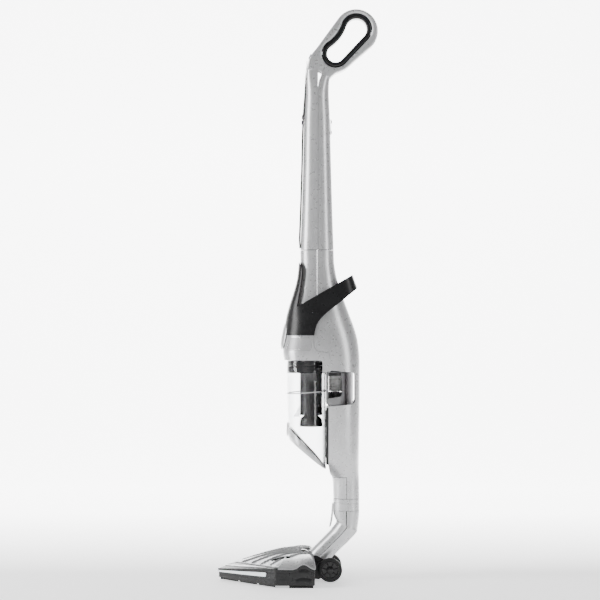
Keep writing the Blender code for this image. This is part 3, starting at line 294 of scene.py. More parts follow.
def silver_share(share):
    """How far out the silver cover reaches towards the front edge."""
    return 0.785 + 0.195 * share


def swivel_point(x_plus_z):
    """The point of the swivel axis whose x and z add up to this."""
    base = Vector((SWIVEL_X, 0.0, SWIVEL_Z))
    return base + SWIVEL_DIRECTION * ((x_plus_z - SWIVEL_X - SWIVEL_Z) / math.sqrt(2))


def bay_side_view(gap):
    """Side view of everything in front of the rear housing, from the neck up to the carrying band."""
    return [
        (-80.0, 150.0), (94.2 + gap, 150.0), (94.2 + gap, 198.8 + gap), (66.0, 198.8 + gap), (62.0, 206.0),
        (58.6 + gap, 222.0),
        (58.6 + gap, 338.0), (62.0, 404.0), (60.4 + gap, 436.0), (55.0 + gap, 439.6 + gap),
        (36.6 + gap, 443.4 + gap),
        (31.0 + gap, 455.0), (31.4 + gap, 474.0), (37.4 + gap, 500.0), (37.4 + gap, 650.0), (-80.0, 650.0),
    ]


def oval_point(angle, grow=0.0):
    """A point (y, z) on the rim of the front button."""
    c, s = math.cos(angle), math.sin(angle)
    half_width, half_height, square = 25.0 + grow, 26.0 + grow, 2.6
    y = math.copysign(half_width * abs(c) ** (2 / square), c)
    return y * (1.0 - 0.12 * s), BUTTON_Z + math.copysign(half_height * abs(s) ** (2 / square), s)


def bin_point(angle, z, offset=0.0):
    lean = (BAY_TOP_Z - z) / 150.0
    x, y = ring_point(BIN_FRONT + 4.0 * lean, BIN_BACK, BIN_HALF_WIDTH - 2.0 * lean, 2.3, angle, offset)
    return x, y, z


def lid_plane(x):
    """Height of the sloping joint between the bin and its lid."""
    return 294.8 - (x + 17.2) * 1.026


def lid_bottom(x):
    return 270.6 - (x + 15.3) * 0.834


def bean(grow, count=10):
    """The handle opening grown outwards by a distance, as (x, z) points counter-clockwise."""
    top, bottom = LOOP_TOP, LOOP_BOTTOM
    r_top, r_bottom, r_waist = LOOP_TOP_RADIUS + grow, LOOP_BOTTOM_RADIUS + grow, LOOP_WAIST_RADIUS - grow
    axis = top - bottom
    length = axis.length
    along = axis.normalized()
    across = Vector((-along.y, along.x))
    to_top, to_bottom = r_waist + r_top, r_waist + r_bottom
    s = (to_bottom**2 - to_top**2 + length**2) / (2 * length)
    h = math.sqrt(to_bottom**2 - s**2)
    waist = bottom + along * s + across * h
    heading = math.degrees(math.atan2(along.y, along.x))
    lean = math.degrees(math.asin((r_top - r_bottom) / length))
    tangent = heading - 90 - lean

    def bearing(a, b):
        return math.degrees(math.atan2(b.y - a.y, b.x - a.x))

    top_end = bearing(top, waist)
    bottom_start = bearing(bottom, waist)
    points = arc(top, r_top, tangent, top_end, count)
    points += arc(waist, r_waist, bearing(waist, top) + 360, bearing(waist, bottom) + 360, count)[1:-1]
    points += arc(bottom, r_bottom, bottom_start, tangent + 360, count)
    return points


def tube_front(z):
    return section_at(TUBE_SECTIONS, z)[0]


def strip_depth(z):
    return 1.2 + 2.9 * ease((975.0 - z) / 130.0)


def strip_front(z):
    return tube_front(z) - GAP - strip_depth(z)


# ---------------------------------------------------------------- scene helpers
def add_object(name, mesh):
    obj = bpy.data.objects.new(name, mesh)
    bpy.context.scene.collection.objects.link(obj)
    return obj


def mesh_from(name, points, faces):
    mesh = bpy.data.meshes.new(name)
    mesh.from_pydata([tuple(Vector(p) * MM) for p in points], [], faces)
    mesh.update()
    return mesh


def evaluated_mesh(obj):
    bpy.context.view_layer.update()
    graph = bpy.context.evaluated_depsgraph_get()
    mesh = bpy.data.meshes.new_from_object(obj.evaluated_get(graph))
    mesh.transform(obj.matrix_world)
    return mesh


def baked(obj):
    """Turns the object's modifiers and place into plain mesh."""
    mesh = evaluated_mesh(obj)
    obj.modifiers.clear()
    obj.data = mesh
    obj.matrix_world = Matrix.Identity(4)
    return obj


def solidify(obj, thickness):
    """Gives a surface a wall on its inner side."""
    made = obj.modifiers.new("wall", "SOLIDIFY")
    made.thickness = thickness * MM
    made.offset = -1.0
    made.use_even_offset = False
    return baked(obj)


def boolean(obj, other, operation):
    made = obj.modifiers.new(operation.lower(), "BOOLEAN")
    made.operation = operation
    made.solver = "EXACT"
    made.object = other
    baked(obj)
    bpy.data.objects.remove(other)
    return obj


def cut(obj, *cutters):
    for cutter in cutters:
        boolean(obj, cutter, "DIFFERENCE")
    return obj


def join(obj, *others):
    for other in others:
        boolean(obj, other, "UNION")
    return obj


def clip(obj, other):
    return boolean(obj, other, "INTERSECT")


def merged(name, objects):
    """Separate closed solids kept as one object."""
    form = bmesh.new()
    for obj in objects:
        baked(obj)
        form.from_mesh(obj.data)
        bpy.data.objects.remove(obj)
    mesh = bpy.data.meshes.new(name)
    form.to_mesh(mesh)
    form.free()
    return add_object(name, mesh)


def bevel(obj, width, segments, angle):
    made = obj.modifiers.new("edges", "BEVEL")
    made.width = width * MM
    made.segments = segments
    made.limit_method = "ANGLE"
    made.angle_limit = math.radians(angle)
    made.harden_normals = True


def grid(name, rows, closed=False, cap_start=False, cap_end=False):
    """Quads between rows of points. Rows run from the top down and points run counter-clockwise seen from above."""
    count = len(rows[0])
    points = [p for row in rows for p in row]
    faces = []
    for r in range(len(rows) - 1):
        for c in range(count if closed else count - 1):
            d = (c + 1) % count
            faces.append((r * count + c, (r + 1) * count + c, (r + 1) * count + d, r * count + d))
    if cap_start:
        faces.append(tuple(range(count)))
    if cap_end:
        last = (len(rows) - 1) * count
        faces.append(tuple(last + c for c in reversed(range(count))))
    return add_object(name, mesh_from(name, points, faces))


def solid_loft(name, rows):
    return grid(name, rows, closed=True, cap_start=True, cap_end=True)


def block(name, low, high, edge=0.0, segments=3):
    mesh = bpy.data.meshes.new(name)
    form = bmesh.new()
    bmesh.ops.create_cube(form, size=1.0)
    low, high = Vector(low), Vector(high)
    bmesh.ops.scale(form, vec=(high - low) * MM, verts=form.verts)
    bmesh.ops.translate(form, vec=(low + high) / 2 * MM, verts=form.verts)
    if edge:
        bmesh.ops.bevel(form, geom=form.edges[:], offset=edge * MM, segments=segments, profile=0.5,
                        affect="EDGES")
    form.to_mesh(mesh)
    form.free()
    return add_object(name, mesh)


def axis_matrix(origin, axis):
    turn = Vector(axis).to_track_quat("Z", "Y").to_matrix().to_4x4()
    return Matrix.Translation(Vector(origin) * MM) @ turn


def rod(name, start, end, radius, segments=48, end_radius=None):
    """A cylinder or cone between two points."""
    start, end = Vector(start), Vector(end)
    mesh = bpy.data.meshes.new(name)
    form = bmesh.new()
    bmesh.ops.create_cone(
        form, cap_ends=True, segments=segments, radius1=radius * MM,
        radius2=(radius if end_radius is None else end_radius) * MM, depth=(end - start).length * MM,
    )
    form.to_mesh(mesh)
    form.free()
    obj = add_object(name, mesh)
    obj.matrix_world = axis_matrix((start + end) / 2, end - start)
    return baked(obj)


def lathe(name, profile, origin, axis, steps=96):
    """A closed profile of (radius, height) pairs, outer side first from the top down, turned about an axis."""
    count = len(profile)
    points = []
    for a in turns(steps):
        points += [(r * math.cos(a), r * math.sin(a), h) for r, h in profile]
    faces = []
    for k in range(steps):
        n = (k + 1) % steps
        for i in range(count):
            j = (i + 1) % count
            if profile[i][0] > 0 or profile[j][0] > 0:
                faces.append((k * count + i, k * count + j, n * count + j, n * count + i))
    obj = add_object(name, mesh_from(name, points, faces))
    clean(obj)
    obj.matrix_world = axis_matrix(origin, axis)
    return baked(obj)


def clean(obj):
    """Welds points that meet and turns every face outwards."""
    form = bmesh.new()
    form.from_mesh(obj.data)
    bmesh.ops.remove_doubles(form, verts=form.verts, dist=0.000004)
    bmesh.ops.dissolve_degenerate(form, edges=form.edges, dist=0.000001)
    bmesh.ops.recalc_face_normals(form, faces=form.faces)
    form.to_mesh(obj.data)
    form.free()
    return obj


def smooth_loop(points, steps=4, closed=True):
    """A curve through the points, with steps between each pair."""
    count = len(points)
    made = []
    for i in range(count if closed else count - 1):
        if closed:
            p = [Vector(points[(i + k - 1) % count]) for k in range(4)]
        else:
            p = [Vector(points[max(0, min(count - 1, i + k - 1))]) for k in range(4)]
        for s in range(steps):
            t = s / steps
            made.append(tuple(0.5 * (
                2 * p[1] + (p[2] - p[0]) * t + (2 * p[0] - 5 * p[1] + 4 * p[2] - p[3]) * t * t
                + (3 * p[1] - p[0] - 3 * p[2] + p[3]) * t**3
            )))
    if not closed:
        made.append(tuple(points[-1]))
    return made


def outline_solid(name, loops, y_low, y_high, edge=0.0, rounds=3):
    """A flat outline in X and Z, with any further loops as holes, extruded across Y."""
    half = abs(y_high - y_low) / 2
    curve = bpy.data.curves.new(name, "CURVE")
    curve.dimensions = "2D"
    curve.fill_mode = "BOTH"
    curve.extrude = (half - edge) * MM
    curve.bevel_depth = edge * MM
    curve.bevel_resolution = rounds if edge else 0
    curve.offset = -edge * MM
    for loop in loops:
        spline = curve.splines.new("POLY")
        spline.points.add(len(loop) - 1)
        for point, (x, z) in zip(spline.points, loop):
            point.co = (x * MM, z * MM, 0.0, 1.0)
        spline.use_cyclic_u = True
    flat = bpy.data.objects.new(name + "_outline", curve)
    bpy.context.scene.collection.objects.link(flat)
    flat.matrix_world = Matrix.Translation((0, (y_low + y_high) / 2 * MM, 0)) @ Matrix.Rotation(math.pi / 2,
        4, "X")
    mesh = evaluated_mesh(flat)
    mesh.materials.clear()
    bpy.data.objects.remove(flat)
    return clean(add_object(name, mesh))


def axle_hole(side, near, far):
    """A cutter for the axle's hole through a plate that stands from near to far across the cleaner."""
    low, high = near - side * 5, far + side * 5
    return rod("axle_hole", (AXLE_X, low, WHEEL_RADIUS), (AXLE_X, high, WHEEL_RADIUS), BORE_RADIUS, 48)


def blocks_round_cyclone(low, high, edge, count):
    """Equal small blocks in even steps round the cyclone's axis."""
    made = []
    for a in turns(count):
        obj = block("rib", low, high, edge, 2)
        obj.matrix_world = Matrix.Translation((CYCLONE_X * MM, 0, 0)) @ Matrix.Rotation(a, 4, "Z")
        made.append(baked(obj))
    return merged("ribs", made)


def plan_solid(name, outline, z_low, z_high):
    """A vertical prism on an outline of (x, y) points, counter-clockwise seen from above."""
    return solid_loft(name, [[(x, y, z) for x, y in outline] for z in (z_high, z_low)])


BODY_OF = {node: obj["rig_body"] for node, obj in frame["nodes"].items()}


def dress(obj, slot, nodes, angle=32.0, edge=0.0, segments=2, body=None, look=None):
    """Gives a piece its finish, its moving body and the CAD nodes that it stands for."""
    obj.data.materials.clear()
    obj.data.materials.append(LOOKS[look or slot])
    obj.data.shade_smooth()
    obj.data.set_sharp_from_angle(angle=math.radians(angle))
    if edge:
        bevel(obj, edge, segments, max(angle, 38.0))
    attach(obj, body or BODY_OF[nodes[0]])
    if nodes:
        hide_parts(*nodes)
    return obj


# ---------------------------------------------------------------- materials
class Shade:
    """One procedural material: a Principled shader with noise-driven colour, roughness and relief."""

    def __init__(self, name, colour, roughness, **sockets):
        self.material = bpy.data.materials.new(name)
        self.material.use_nodes = True
        self.tree = self.material.node_tree
        self.shader = self.tree.nodes["Principled BSDF"]
        self.place = self.tree.nodes.new("ShaderNodeTexCoord").outputs["Object"]
        self.colour = (*colour, 1.0)
        self.shader.inputs["Base Color"].default_value = self.colour
        self.shader.inputs["Roughness"].default_value = roughness
        for key, value in sockets.items():
            self.shader.inputs[key.replace("_", " ")].default_value = value
        self.relief = None

    def noise(self, scale, detail=3.0, stretch=None):
        node = self.tree.nodes.new("ShaderNodeTexNoise")
        node.inputs["Scale"].default_value = scale
        node.inputs["Detail"].default_value = detail
        place = self.place
        if stretch:
            mapping = self.tree.nodes.new("ShaderNodeMapping")
            mapping.inputs["Scale"].default_value = stretch
            self.tree.links.new(place, mapping.inputs["Vector"])
            place = mapping.outputs["Vector"]
        self.tree.links.new(place, node.inputs["Vector"])
        return node.outputs["Fac"]

    def span(self, value, low, high, start=0.3, end=0.7):
        node = self.tree.nodes.new("ShaderNodeMapRange")
        node.inputs["From Min"].default_value = start
        node.inputs["From Max"].default_value = end
        node.inputs["To Min"].default_value = low
        node.inputs["To Max"].default_value = high
        self.tree.links.new(value, node.inputs["Value"])
        return node.outputs["Result"]

    def rough(self, value, low, high):
        self.tree.links.new(self.span(value, low, high), self.shader.inputs["Roughness"])
        return self

    def tint(self, value, other, low=0.0, high=1.0):
        """Mixes the base colour towards another by a varying value."""
        mix = self.tree.nodes.new("ShaderNodeMix")
        mix.data_type = "RGBA"
        source = self.shader.inputs["Base Color"]
        if source.is_linked:
            self.tree.links.new(source.links[0].from_socket, mix.inputs["A"])
        else:
            mix.inputs["A"].default_value = self.colour
        mix.inputs["B"].default_value = (*other, 1.0)
        self.tree.links.new(self.span(value, low, high), mix.inputs["Factor"])
        self.tree.links.new(mix.outputs["Result"], source)
        return self

    def bump(self, value, strength, depth_mm):
        node = self.tree.nodes.new("ShaderNodeBump")
        node.inputs["Strength"].default_value = strength
        node.inputs["Distance"].default_value = depth_mm * MM
        self.tree.links.new(value, node.inputs["Height"])
        if self.relief:
            self.tree.links.new(self.relief, node.inputs["Normal"])
        self.relief = node.outputs["Normal"]
        self.tree.links.new(self.relief, self.shader.inputs["Normal"])
        return self


def moulded(name, colour, other, roughness, spread, waviness, **sockets):
    """Injection-moulded plastic: a faint cloudy colour, an uneven sheen and a slow waviness."""
    made = Shade(name, colour, roughness, **sockets)
    made.tint(made.noise(38.0, 2.0), other, 0.0, 0.8)
    made.rough(made.noise(160.0, 4.0), roughness - spread, roughness + spread)
    made.bump(made.noise(70.0, 1.0), waviness, 0.05)
    return made


def rubber():
    made = moulded("black_rubber", (0.009, 0.009, 0.0095), (0.015, 0.015, 0.015), 0.62, 0.08, 0.3,
                   Specular_IOR_Level=0.3)
    made.bump(made.noise(900.0, 3.0), 0.3, 0.03)
    return made.material


def clear(name, colour, roughness, **sockets):
    made = Shade(name, colour, roughness, **sockets)
    made.rough(made.noise(90.0, 4.0), roughness, roughness + 0.05)
    made.bump(made.noise(45.0, 1.0), 0.12, 0.04)
    made.tint(made.noise(60.0, 3.0), tuple(c * 0.97 for c in colour), 0.0, 1.0)
    return made.material


def steel(name, colour, roughness):
    made = Shade(name, colour, roughness, Metallic=1.0)
    lines = made.noise(400.0, 3.0, (1.0, 1.0, 12.0))
    made.rough(lines, roughness - 0.08, roughness + 0.12)
    made.tint(made.noise(50.0), tuple(c * 0.8 for c in colour), 0.0, 0.6)
    made.bump(lines, 0.2, 0.01)
    return made.material


def fleece():
    made = Shade("filter_fleece", (0.90, 0.90, 0.89), 0.92, Sheen_Weight=0.4)
    made.tint(made.noise(700.0, 5.0), (0.80, 0.80, 0.79), 0.0, 0.7)
    made.bump(made.noise(1800.0, 5.0, (1.0, 1.0, 0.25)), 0.6, 0.08)
    made.rough(made.noise(300.0), 0.86, 0.98)
    return made.material


def bristle():
    made = Shade("brush_bristle", (0.02, 0.02, 0.022), 0.6)
    made.tint(made.noise(1500.0, 3.0), (0.07, 0.07, 0.075), 0.0, 1.0)
    made.bump(made.noise(2500.0, 3.0, (1.0, 1.0, 0.15)), 0.8, 0.15)
    made.rough(made.noise(500.0), 0.5, 0.75)
    return made.material


LOOKS = {
    "silver_plastic": moulded("satin_silver", (0.50, 0.503, 0.512), (0.56, 0.562, 0.57), 0.30, 0.04, 0.12,
                              Metallic=0.6, Coat_Weight=0.12, Coat_Roughness=0.18).material,
    "black_plastic": moulded("semi_gloss_black", (0.007, 0.007, 0.0075), (0.011, 0.011, 0.0115), 0.30, 0.04,
                             0.08,
                             Specular_IOR_Level=0.32).material,
    "gloss_black": moulded("gloss_black", (0.005, 0.005, 0.0055), (0.008, 0.008, 0.0085), 0.20, 0.04, 0.05,
                           Specular_IOR_Level=0.35).material,
    "soft_black": moulded("soft_touch_black", (0.008, 0.008, 0.0085), (0.013, 0.013, 0.013), 0.42, 0.06, 0.3,
                          Specular_IOR_Level=0.35).material,
    "rubber": rubber(),
    "clear_plastic": clear("clear_container", (0.97, 0.98, 0.985), 0.02, Transmission_Weight=1.0, IOR=1.38,
                           Specular_IOR_Level=0.25),
    "frosted_clear": clear("frosted_clear", (0.86, 0.87, 0.88), 0.28, Transmission_Weight=0.75, IOR=1.3),
    "smoked_plastic": clear("smoked_shroud", (0.05, 0.05, 0.053), 0.16, Transmission_Weight=0.45, IOR=1.3,
                            Specular_IOR_Level=0.3),
    # painted light: a paler, less metallic copy of the body silver that brightens a recess which gets little light
    "painted_light_silver": moulded("painted_light_silver", (0.76, 0.763, 0.77), (0.80, 0.803, 0.81), 0.42, 0.05, 0.12,
                             Metallic=0.1).material,
    # painted shade: a darker copy of the body silver for the head's top cover, standing in for the shade that falls
    # on it
    "painted_shade_silver": moulded("painted_shade_silver", (0.25, 0.252, 0.257), (0.30, 0.302, 0.307), 0.30, 0.04, 0.12,
                           Metallic=0.5).material,
    "grey_plastic": moulded("mid_grey", (0.15, 0.15, 0.155), (0.19, 0.19, 0.195), 0.34, 0.05, 0.15,
                            Metallic=0.2).material,
    "pale_grey": moulded("pale_grey", (0.42, 0.42, 0.43), (0.48, 0.48, 0.49), 0.38, 0.05, 0.15,
                         Metallic=0.35).material,
    "lamp_lens": moulded("milky_lens", (0.90, 0.91, 0.92), (0.96, 0.96, 0.965), 0.16, 0.04, 0.1,
                         Coat_Weight=0.4,
                         Subsurface_Weight=0.1).material,
    "steel": steel("turned_steel", (0.58, 0.58, 0.59), 0.26),
    "filter_fleece": fleece(),
    "battery_wrap": moulded("cell_wrap", (0.02, 0.02, 0.022), (0.03, 0.03, 0.032), 0.34, 0.06, 0.2,
                            Coat_Weight=0.2).material,
    "bristle": bristle(),
}


def white_room():
    """White paper that glows behind the object and fades in front of it, far to the sides and high up."""
    made = Shade("white_paper", (0.93, 0.93, 0.93), 0.9, Emission_Color=(1.0, 1.0, 1.0, 1.0))
    parts = made.tree.nodes.new("ShaderNodeSeparateXYZ")
    made.tree.links.new(made.place, parts.inputs["Vector"])
    side = made.tree.nodes.new("ShaderNodeMath")
    side.operation = "ABSOLUTE"
    made.tree.links.new(parts.outputs["X"], side.inputs[0])
    across = made.span(side.outputs["Value"], 6.0, 0.35, 1.05, 1.9)
    behind = made.span(parts.outputs["Y"], 0.14, 1.0, 0.1, 1.3)
    below = made.span(parts.outputs["Z"], 1.0, 0.08, 1.6, 2.3)
    glow = across
    for factor in (behind, below):
        node = made.tree.nodes.new("ShaderNodeMath")
        node.operation = "MULTIPLY"
        made.tree.links.new(glow, node.inputs[0])
        made.tree.links.new(factor, node.inputs[1])
        glow = node.outputs["Value"]
    made.tree.links.new(glow, made.shader.inputs["Emission Strength"])
    made.tint(made.noise(1.2, 2.0), (0.95, 0.95, 0.95), 0.0, 1.0)
    made.bump(made.noise(400.0, 3.0), 0.1, 0.05)
    return made.material


# ---------------------------------------------------------------- handle
SEAM_X = 39.0


def silhouette():
    """The handle's outline in side view, from the front of the tube over the loop and down behind the neck."""
    front = smooth_loop([(15.6, 972.0), (17.4, 984.0), (21.6, 1003.0), (28.0, 1015.0), (36.0, 1024.0),
                         (57.0, 1043.0),
                         (79.0, 1083.0)], 6, closed=False)[6:25]
    back = smooth_loop([(141.6, 1027.8), (130.0, 1014.6), (110.0, 1000.6), (96.0, 988.0), (86.0, 981.6),
                        (74.0, 977.0),
                        (66.0, 971.0), (61.6, 966.0)], 6, closed=False)[6:]
    return front[:-1] + arc((112.4, 1058.0), 42.0, 144.0, -46.0, 64) + back[6:] + [(52.0, 972.0),
        (40.0, 980.0)]


def tube_rows(heights, edge, rear):
    return patch_rows(TUBE_SECTIONS, heights, edge, rear, 0.0, 48)


def handle():
    outline = silhouette()
    opening = bean(GRIP_THICKNESS + GAP, 48)
    loop = outline_solid("loop", [outline, opening], -HANDLE_HALF_WIDTH, HANDLE_HALF_WIDTH, 3.3, 6)
    heights = spaced(996.0, 940.0, 36) + spaced(930.0, 636.8, 40)
    front = solidify(grid("front_tube", tube_rows(heights, lambda z: SEAM_X, False)), WALL)
    join(loop, front)
    tongue = [(38.0, 952.0), (39.8, 961.0), (46.0, 976.0), (54.7, 994.0), (90.0, 994.0), (90.0, 952.0)]
    cut(loop, outline_solid("tongue_room", [tongue], -40.0, 40.0))
    loop.name = "handle_front"
    dress(loop, "silver_plastic", ["handle_front_shell"], 30.0)

    heights = spaced(986.0, 940.0, 30) + spaced(930.0, 636.8, 40)
    edge = ((953.0, SEAM_X + GAP), (961.0, 40.4), (976.0, 46.6), (993.6, 55.2))
    rear = solidify(grid("rear_tube", tube_rows(heights, lambda z: piecewise(edge, z), True)), WALL)
    back = outline_solid("tongue", [outline, opening], -HANDLE_HALF_WIDTH, HANDLE_HALF_WIDTH, 3.3, 6)
    inner = [(44.0, 969.0), (46.7, 976.0), (55.2, 993.6), (89.6, 993.6), (89.6, 940.0), (44.0, 940.0)]
    clip(back, outline_solid("tongue_side", [inner], -40.0, 40.0))
    join(rear, back)
    rear.name = "handle_rear"
    dress(rear, "silver_plastic", ["handle_rear_shell"], 30.0)

    ring = outline_solid("grip", [bean(GRIP_THICKNESS, 48), bean(0.0, 48)], -15.0, 15.0, 4.6, 8)
    dress(ring, "soft_black", ["grip_ring"], 40.0, look="gloss_black")


def control_panel():
    """The black strip down the tube's front with its keys, the power slider, and the rest pad on the tube's back."""
    rows = []
    for z in spaced(1001.0, 940.0, 30) + spaced(932.0, 660.0, 34) + spaced(656.0, 640.0, 4):
        front, back, width, square = section_at(TUBE_SECTIONS, min(z, 990.0))
        flat = piecewise(((958.0, 15.9), (984.0, 17.4), (1003.0, 21.6)), z)
        row = []
        for i in range(25):
            y = 9.0 - 18.0 * i / 24
            round_front = (front + back) / 2 - (back - front) / 2 * (1 - abs(y / width) ** square) ** (1 / square)
            base = min(flat, round_front) - 0.3 if z > 956 else round_front
            depth = 2.4 + (strip_depth(z) - 2.4) * ease((z - 640.0) / 20.0)
            row.append((base - GAP - 0.5 - (depth - 0.5) * math.cos(y / 9.0 * 1.1), y, z))
        rows.append(row)
    strip = solidify(grid("control_panel", rows), 0.8)
    for name, z in (("boost_button", 893.0), ("brush_button", 882.6)):
        x = strip_front(z)
        cut(strip, block("hole", (x - 5.0, -4.4, z - 4.4), (x + 5.0, 4.4, z + 4.4), 1.2))
        key = block(name + "_key", (x - 1.3, -4.0, z - 4.0), (x + 2.3, 4.0, z + 4.0), 0.9, 4)
        ball = rod("dish", (x - 15.6, 0.0, z), (x - 1.0, 0.0, z), 3.0, 32, 2.2)
        cut(key, ball)
        dress(key, "grey_plastic", [name], 40.0)
    dress(strip, "black_plastic", ["control_strip"], 30.0, 0.25, look="gloss_black")

    along = Vector((6.4, 0.0, 12.0)).normalized()
    out = Vector((-along.z, 0.0, along.x))
    start = Vector((21.6, 0.0, 1003.0)) + along * 1.5
    shape = []
    for forward, lift in ((0.0, 0.5), (10.5, 0.5), (10.3, 2.2), (9.5, 3.0), (6.0, 2.5), (1.4, 2.4),
                          (0.2, 1.4)):
        p = start + along * forward + out * lift
        shape.append((p.x, p.z))
    thumb = outline_solid("power_thumb", [shape], -6.5, 6.5, 0.3, 3)
    ribs = []
    for i in range(4):
        p = start + along * (2.6 + 1.7 * i) + out * 2.5
        ribs.append(rod("rib", (p.x, -4.6, p.z), (p.x, 4.6, p.z), 0.42, 12))
    join(thumb, *ribs)
    dress(thumb, "black_plastic", ["power_slider"], 40.0)

    back = section_at(TUBE_SECTIONS, 874.0)[1]
    pad = block("rest_bumper", (back + 0.8, -4.0, 859.0), (back + 1.8, 4.0, 889.0), 0.45, 3)
    for z in (884.0, 864.0):
        join(pad, lathe("stud", [(0.0, 2.0), (1.8, 1.95), (2.8, 1.6), (3.3, 1.1), (3.6, 0.0), (0.0, 0.0)],
                        (back + 1.2, 0.0, z), (1.0, 0.0, 0.0), 48))
    dress(pad, "rubber", ["rest_pad"], 40.0)


# ---------------------------------------------------------------- body
def body_core(name, z_high, z_low, offset):
    """The body's full plan sections between two heights, moved in or out by an offset."""
    rows = []
    for z in spaced(z_high, z_low, 24):
        section = section_at(BODY_SECTIONS, z)
        rows.append([(*ring_point(*section, a, offset), z) for a in turns(128)])
    return solid_loft(name, rows)


def rear_body():
    heights = spaced(635.8, 440.0, 44) + spaced(436.0, 256.0, 28) + spaced(251.0, 157.4, 26)

    def front_edge(z):
        return max(24.0, section_at(BODY_SECTIONS, z)[0] + 0.4)

    housing = solidify(grid("rear_body", patch_rows(BODY_SECTIONS, heights, front_edge, True, 0.0, 64)), WALL)
    window = outline_solid(
        "grip_window",
        [[(40.0, 406.0), (40.0, 338.0), (60.0, 337.0), *arc((101.0, 349.0), 9.0, -80.0, 0.0, 12),
          *arc((101.0, 393.0), 9.0, 0.0, 82.0, 12), (60.0, 406.0)]],
        -80.0, 80.0,
    )
    bolts = rod("bolt_hole", (BOLT_X, -80.0, BOLT_Z), (BOLT_X, 80.0, BOLT_Z), 3.4, 32)
    cut(housing, outline_solid("front_bay", [rounded_bay(GAP)], -90.0, 90.0), window, bolts)
    dress(housing, "silver_plastic", ["rear_housing"], 30.0, 0.7, 3)


def rounded_bay(gap):
    """The side view of the space in front of the rear body, with its upper corner eased."""
    points = bay_side_view(gap)
    lower, upper = points[:7], points[7:]
    eased = smooth_loop([(58.6 + gap, 338.0), *upper[:7], (37.4 + gap, 530.0)], 5, closed=False)[5:-5]
    return lower + eased + upper[7:]


def finger_recess():
    """The recess behind the bow: its wall comes closest at the middle and sweeps back to both sides."""
    half = 52.0
    shells = []
    for name, wide, front, back, low, high in (("recess", half, 58.4, 91.0, 334.4, 409.0),
                                               ("hollow", 60.0, 40.0, 89.2, 336.0, 407.4)):
        outline = [(front, -wide)]
        for i in range(-48, 49):
            y = half * i / 48
            outline.append((back + 17.0 * (abs(y) / 42.0) ** 1.5, y * wide / half))
        outline.append((front, wide))
        shells.append(plan_solid(name, outline, low, high))
    made = cut(shells[0], shells[1])
    clip(made, body_core("recess_limit", 415.0, 330.0, -WALL - 0.6))
    made.name = "finger_recess"
    # The recess is silver plastic, shown in a paler silver as painted light where little light reaches.
    dress(made, "silver_plastic", ["grip_recess"], 30.0, look="painted_light_silver")


def front_body():
    """The shell over the motor, in front of the rear body, and the cover over the duct below the bin."""
    heights = spaced(635.8, 474.0, 60)
    rows = patch_rows(BODY_SECTIONS, heights, lambda z: 31.0 + 6.0 * ease((z - 476.0) / 16.0), False, 0.0, 56)
    shell = solidify(grid("front_body", rows), WALL)
    dress(shell, "silver_plastic", ["body_front_shell"], 30.0, 0.5)

    rows = patch_rows(BODY_SECTIONS, spaced(198.2, 157.4, 16), lambda z: 94.2 - GAP, False, -0.2, 56)
    duct = solidify(grid("duct_cover", rows), WALL)
    dress(duct, "silver_plastic", ["duct_front_cover"], 30.0, 0.5)


def band():
    """The black band that rises from the front to a carrying grip standing off the back."""
    outer_rows, inner_rows = [], []
    ring = turns(128)
    for z in spaced(620.0, 466.0, 44):
        front, back, width, square = section_at(BODY_SECTIONS, z)
        grip_back = 106.0 + 0.36 * (588.0 - z)
        reach = ease((z - 500.0) / 50.0)
        outer_back = back + 3.2 + (grip_back - back - 3.2) * reach
        side = width + 3.2 + 4.0 * reach
        outer_rows.append([(*ring_point(front - 3.2, outer_back, side, square + 1.4 * reach, a),
                            z) for a in ring])
        inner_back = back + 1.2 + (grip_back - 7.0 - back) * reach
        side = width + 1.2 + 1.4 * reach
        inner_rows.append([(*ring_point(front - 1.2, inner_back, side, square + 1.4 * reach, a),
                            z) for a in ring])
    inner_rows[0] = [(x, y, 630.0) for x, y, z in inner_rows[0]]
    inner_rows[-1] = [(x, y, 456.0) for x, y, z in inner_rows[-1]]
    made = cut(solid_loft("carry_grip", outer_rows), solid_loft("band_hollow", inner_rows))
    upper = [(3.5, 612.0), (8.0, 600.0), (6.0, 575.0), (-1.6, 527.0)]
    grip = [(41.3, 551.8), (76.7, 571.9), (104.7, 588.0), (116.0, 590.0), (116.0, 563.6)]
    lower = smooth_loop([(116.0, 563.6), (88.5, 541.5), (54.5, 514.9), (39.6, 498.6), (33.6, 484.0),
                         (31.8, 472.8),
                         (31.5, 465.0)], 6, closed=False)[6:31]
    side_view = smooth_loop(upper, 6, closed=False) + grip + lower + [(-60.0, 472.8), (-60.0, 612.0)]
    clip(made, outline_solid("band_side", [side_view], -90.0, 90.0))
    cut(made, front_oval("button_port", 1.8))
    dress(made, "black_plastic", ["carry_band"], 32.0, 0.9, 3)


def front_oval(name, grow):
    return solid_loft(name, [[(x, *oval_point(a, grow)) for a in turns(96)] for x in (10.0, -60.0)])


def front_ring():
    """The silver front ring over the dust container, with an arm down each side."""
    outer = body_core("front_ring", 472.4, 402.6, 0.2)
    cut(outer, body_core("ring_hollow", 480.0, 396.0, -3.0))
    clip(outer, outline_solid("ring_side", [rounded_bay(0.0)], -90.0, 90.0))
    corner = arc((42.4, 419.6), 5.0, 90.0, 0.0, 8)
    cut(outer, outline_solid("mouth", [[(-80.0, 424.6), (-80.0, 395.0), (47.4, 395.0), *corner[::-1]]], -90.0,
                             90.0))
    for side in (-1, 1):
        cut(outer, outline_solid("port", [soft_grille(0.4)], *sorted((side * 18.0, side * 80.0))))
    dress(outer, "silver_plastic", ["vent_housing"], 30.0, 0.6, 3)


def soft_grille(grow):
    """The grille's outline with its rear corners rounded."""
    return [(-22.5 - grow, VENT_LOW - grow), (20.0, VENT_LOW - grow),
            *arc((20.0, 450.0), 6.0 + grow, -90.0, 0.0, 8)[1:],
            *arc((20.0, 462.0), 6.0 + grow, 0.0, 90.0, 8), (-13.0, VENT_HIGH + grow)]


def vent_left(z):
    return -22.5 + 9.5 * (z - VENT_LOW) / 24.0


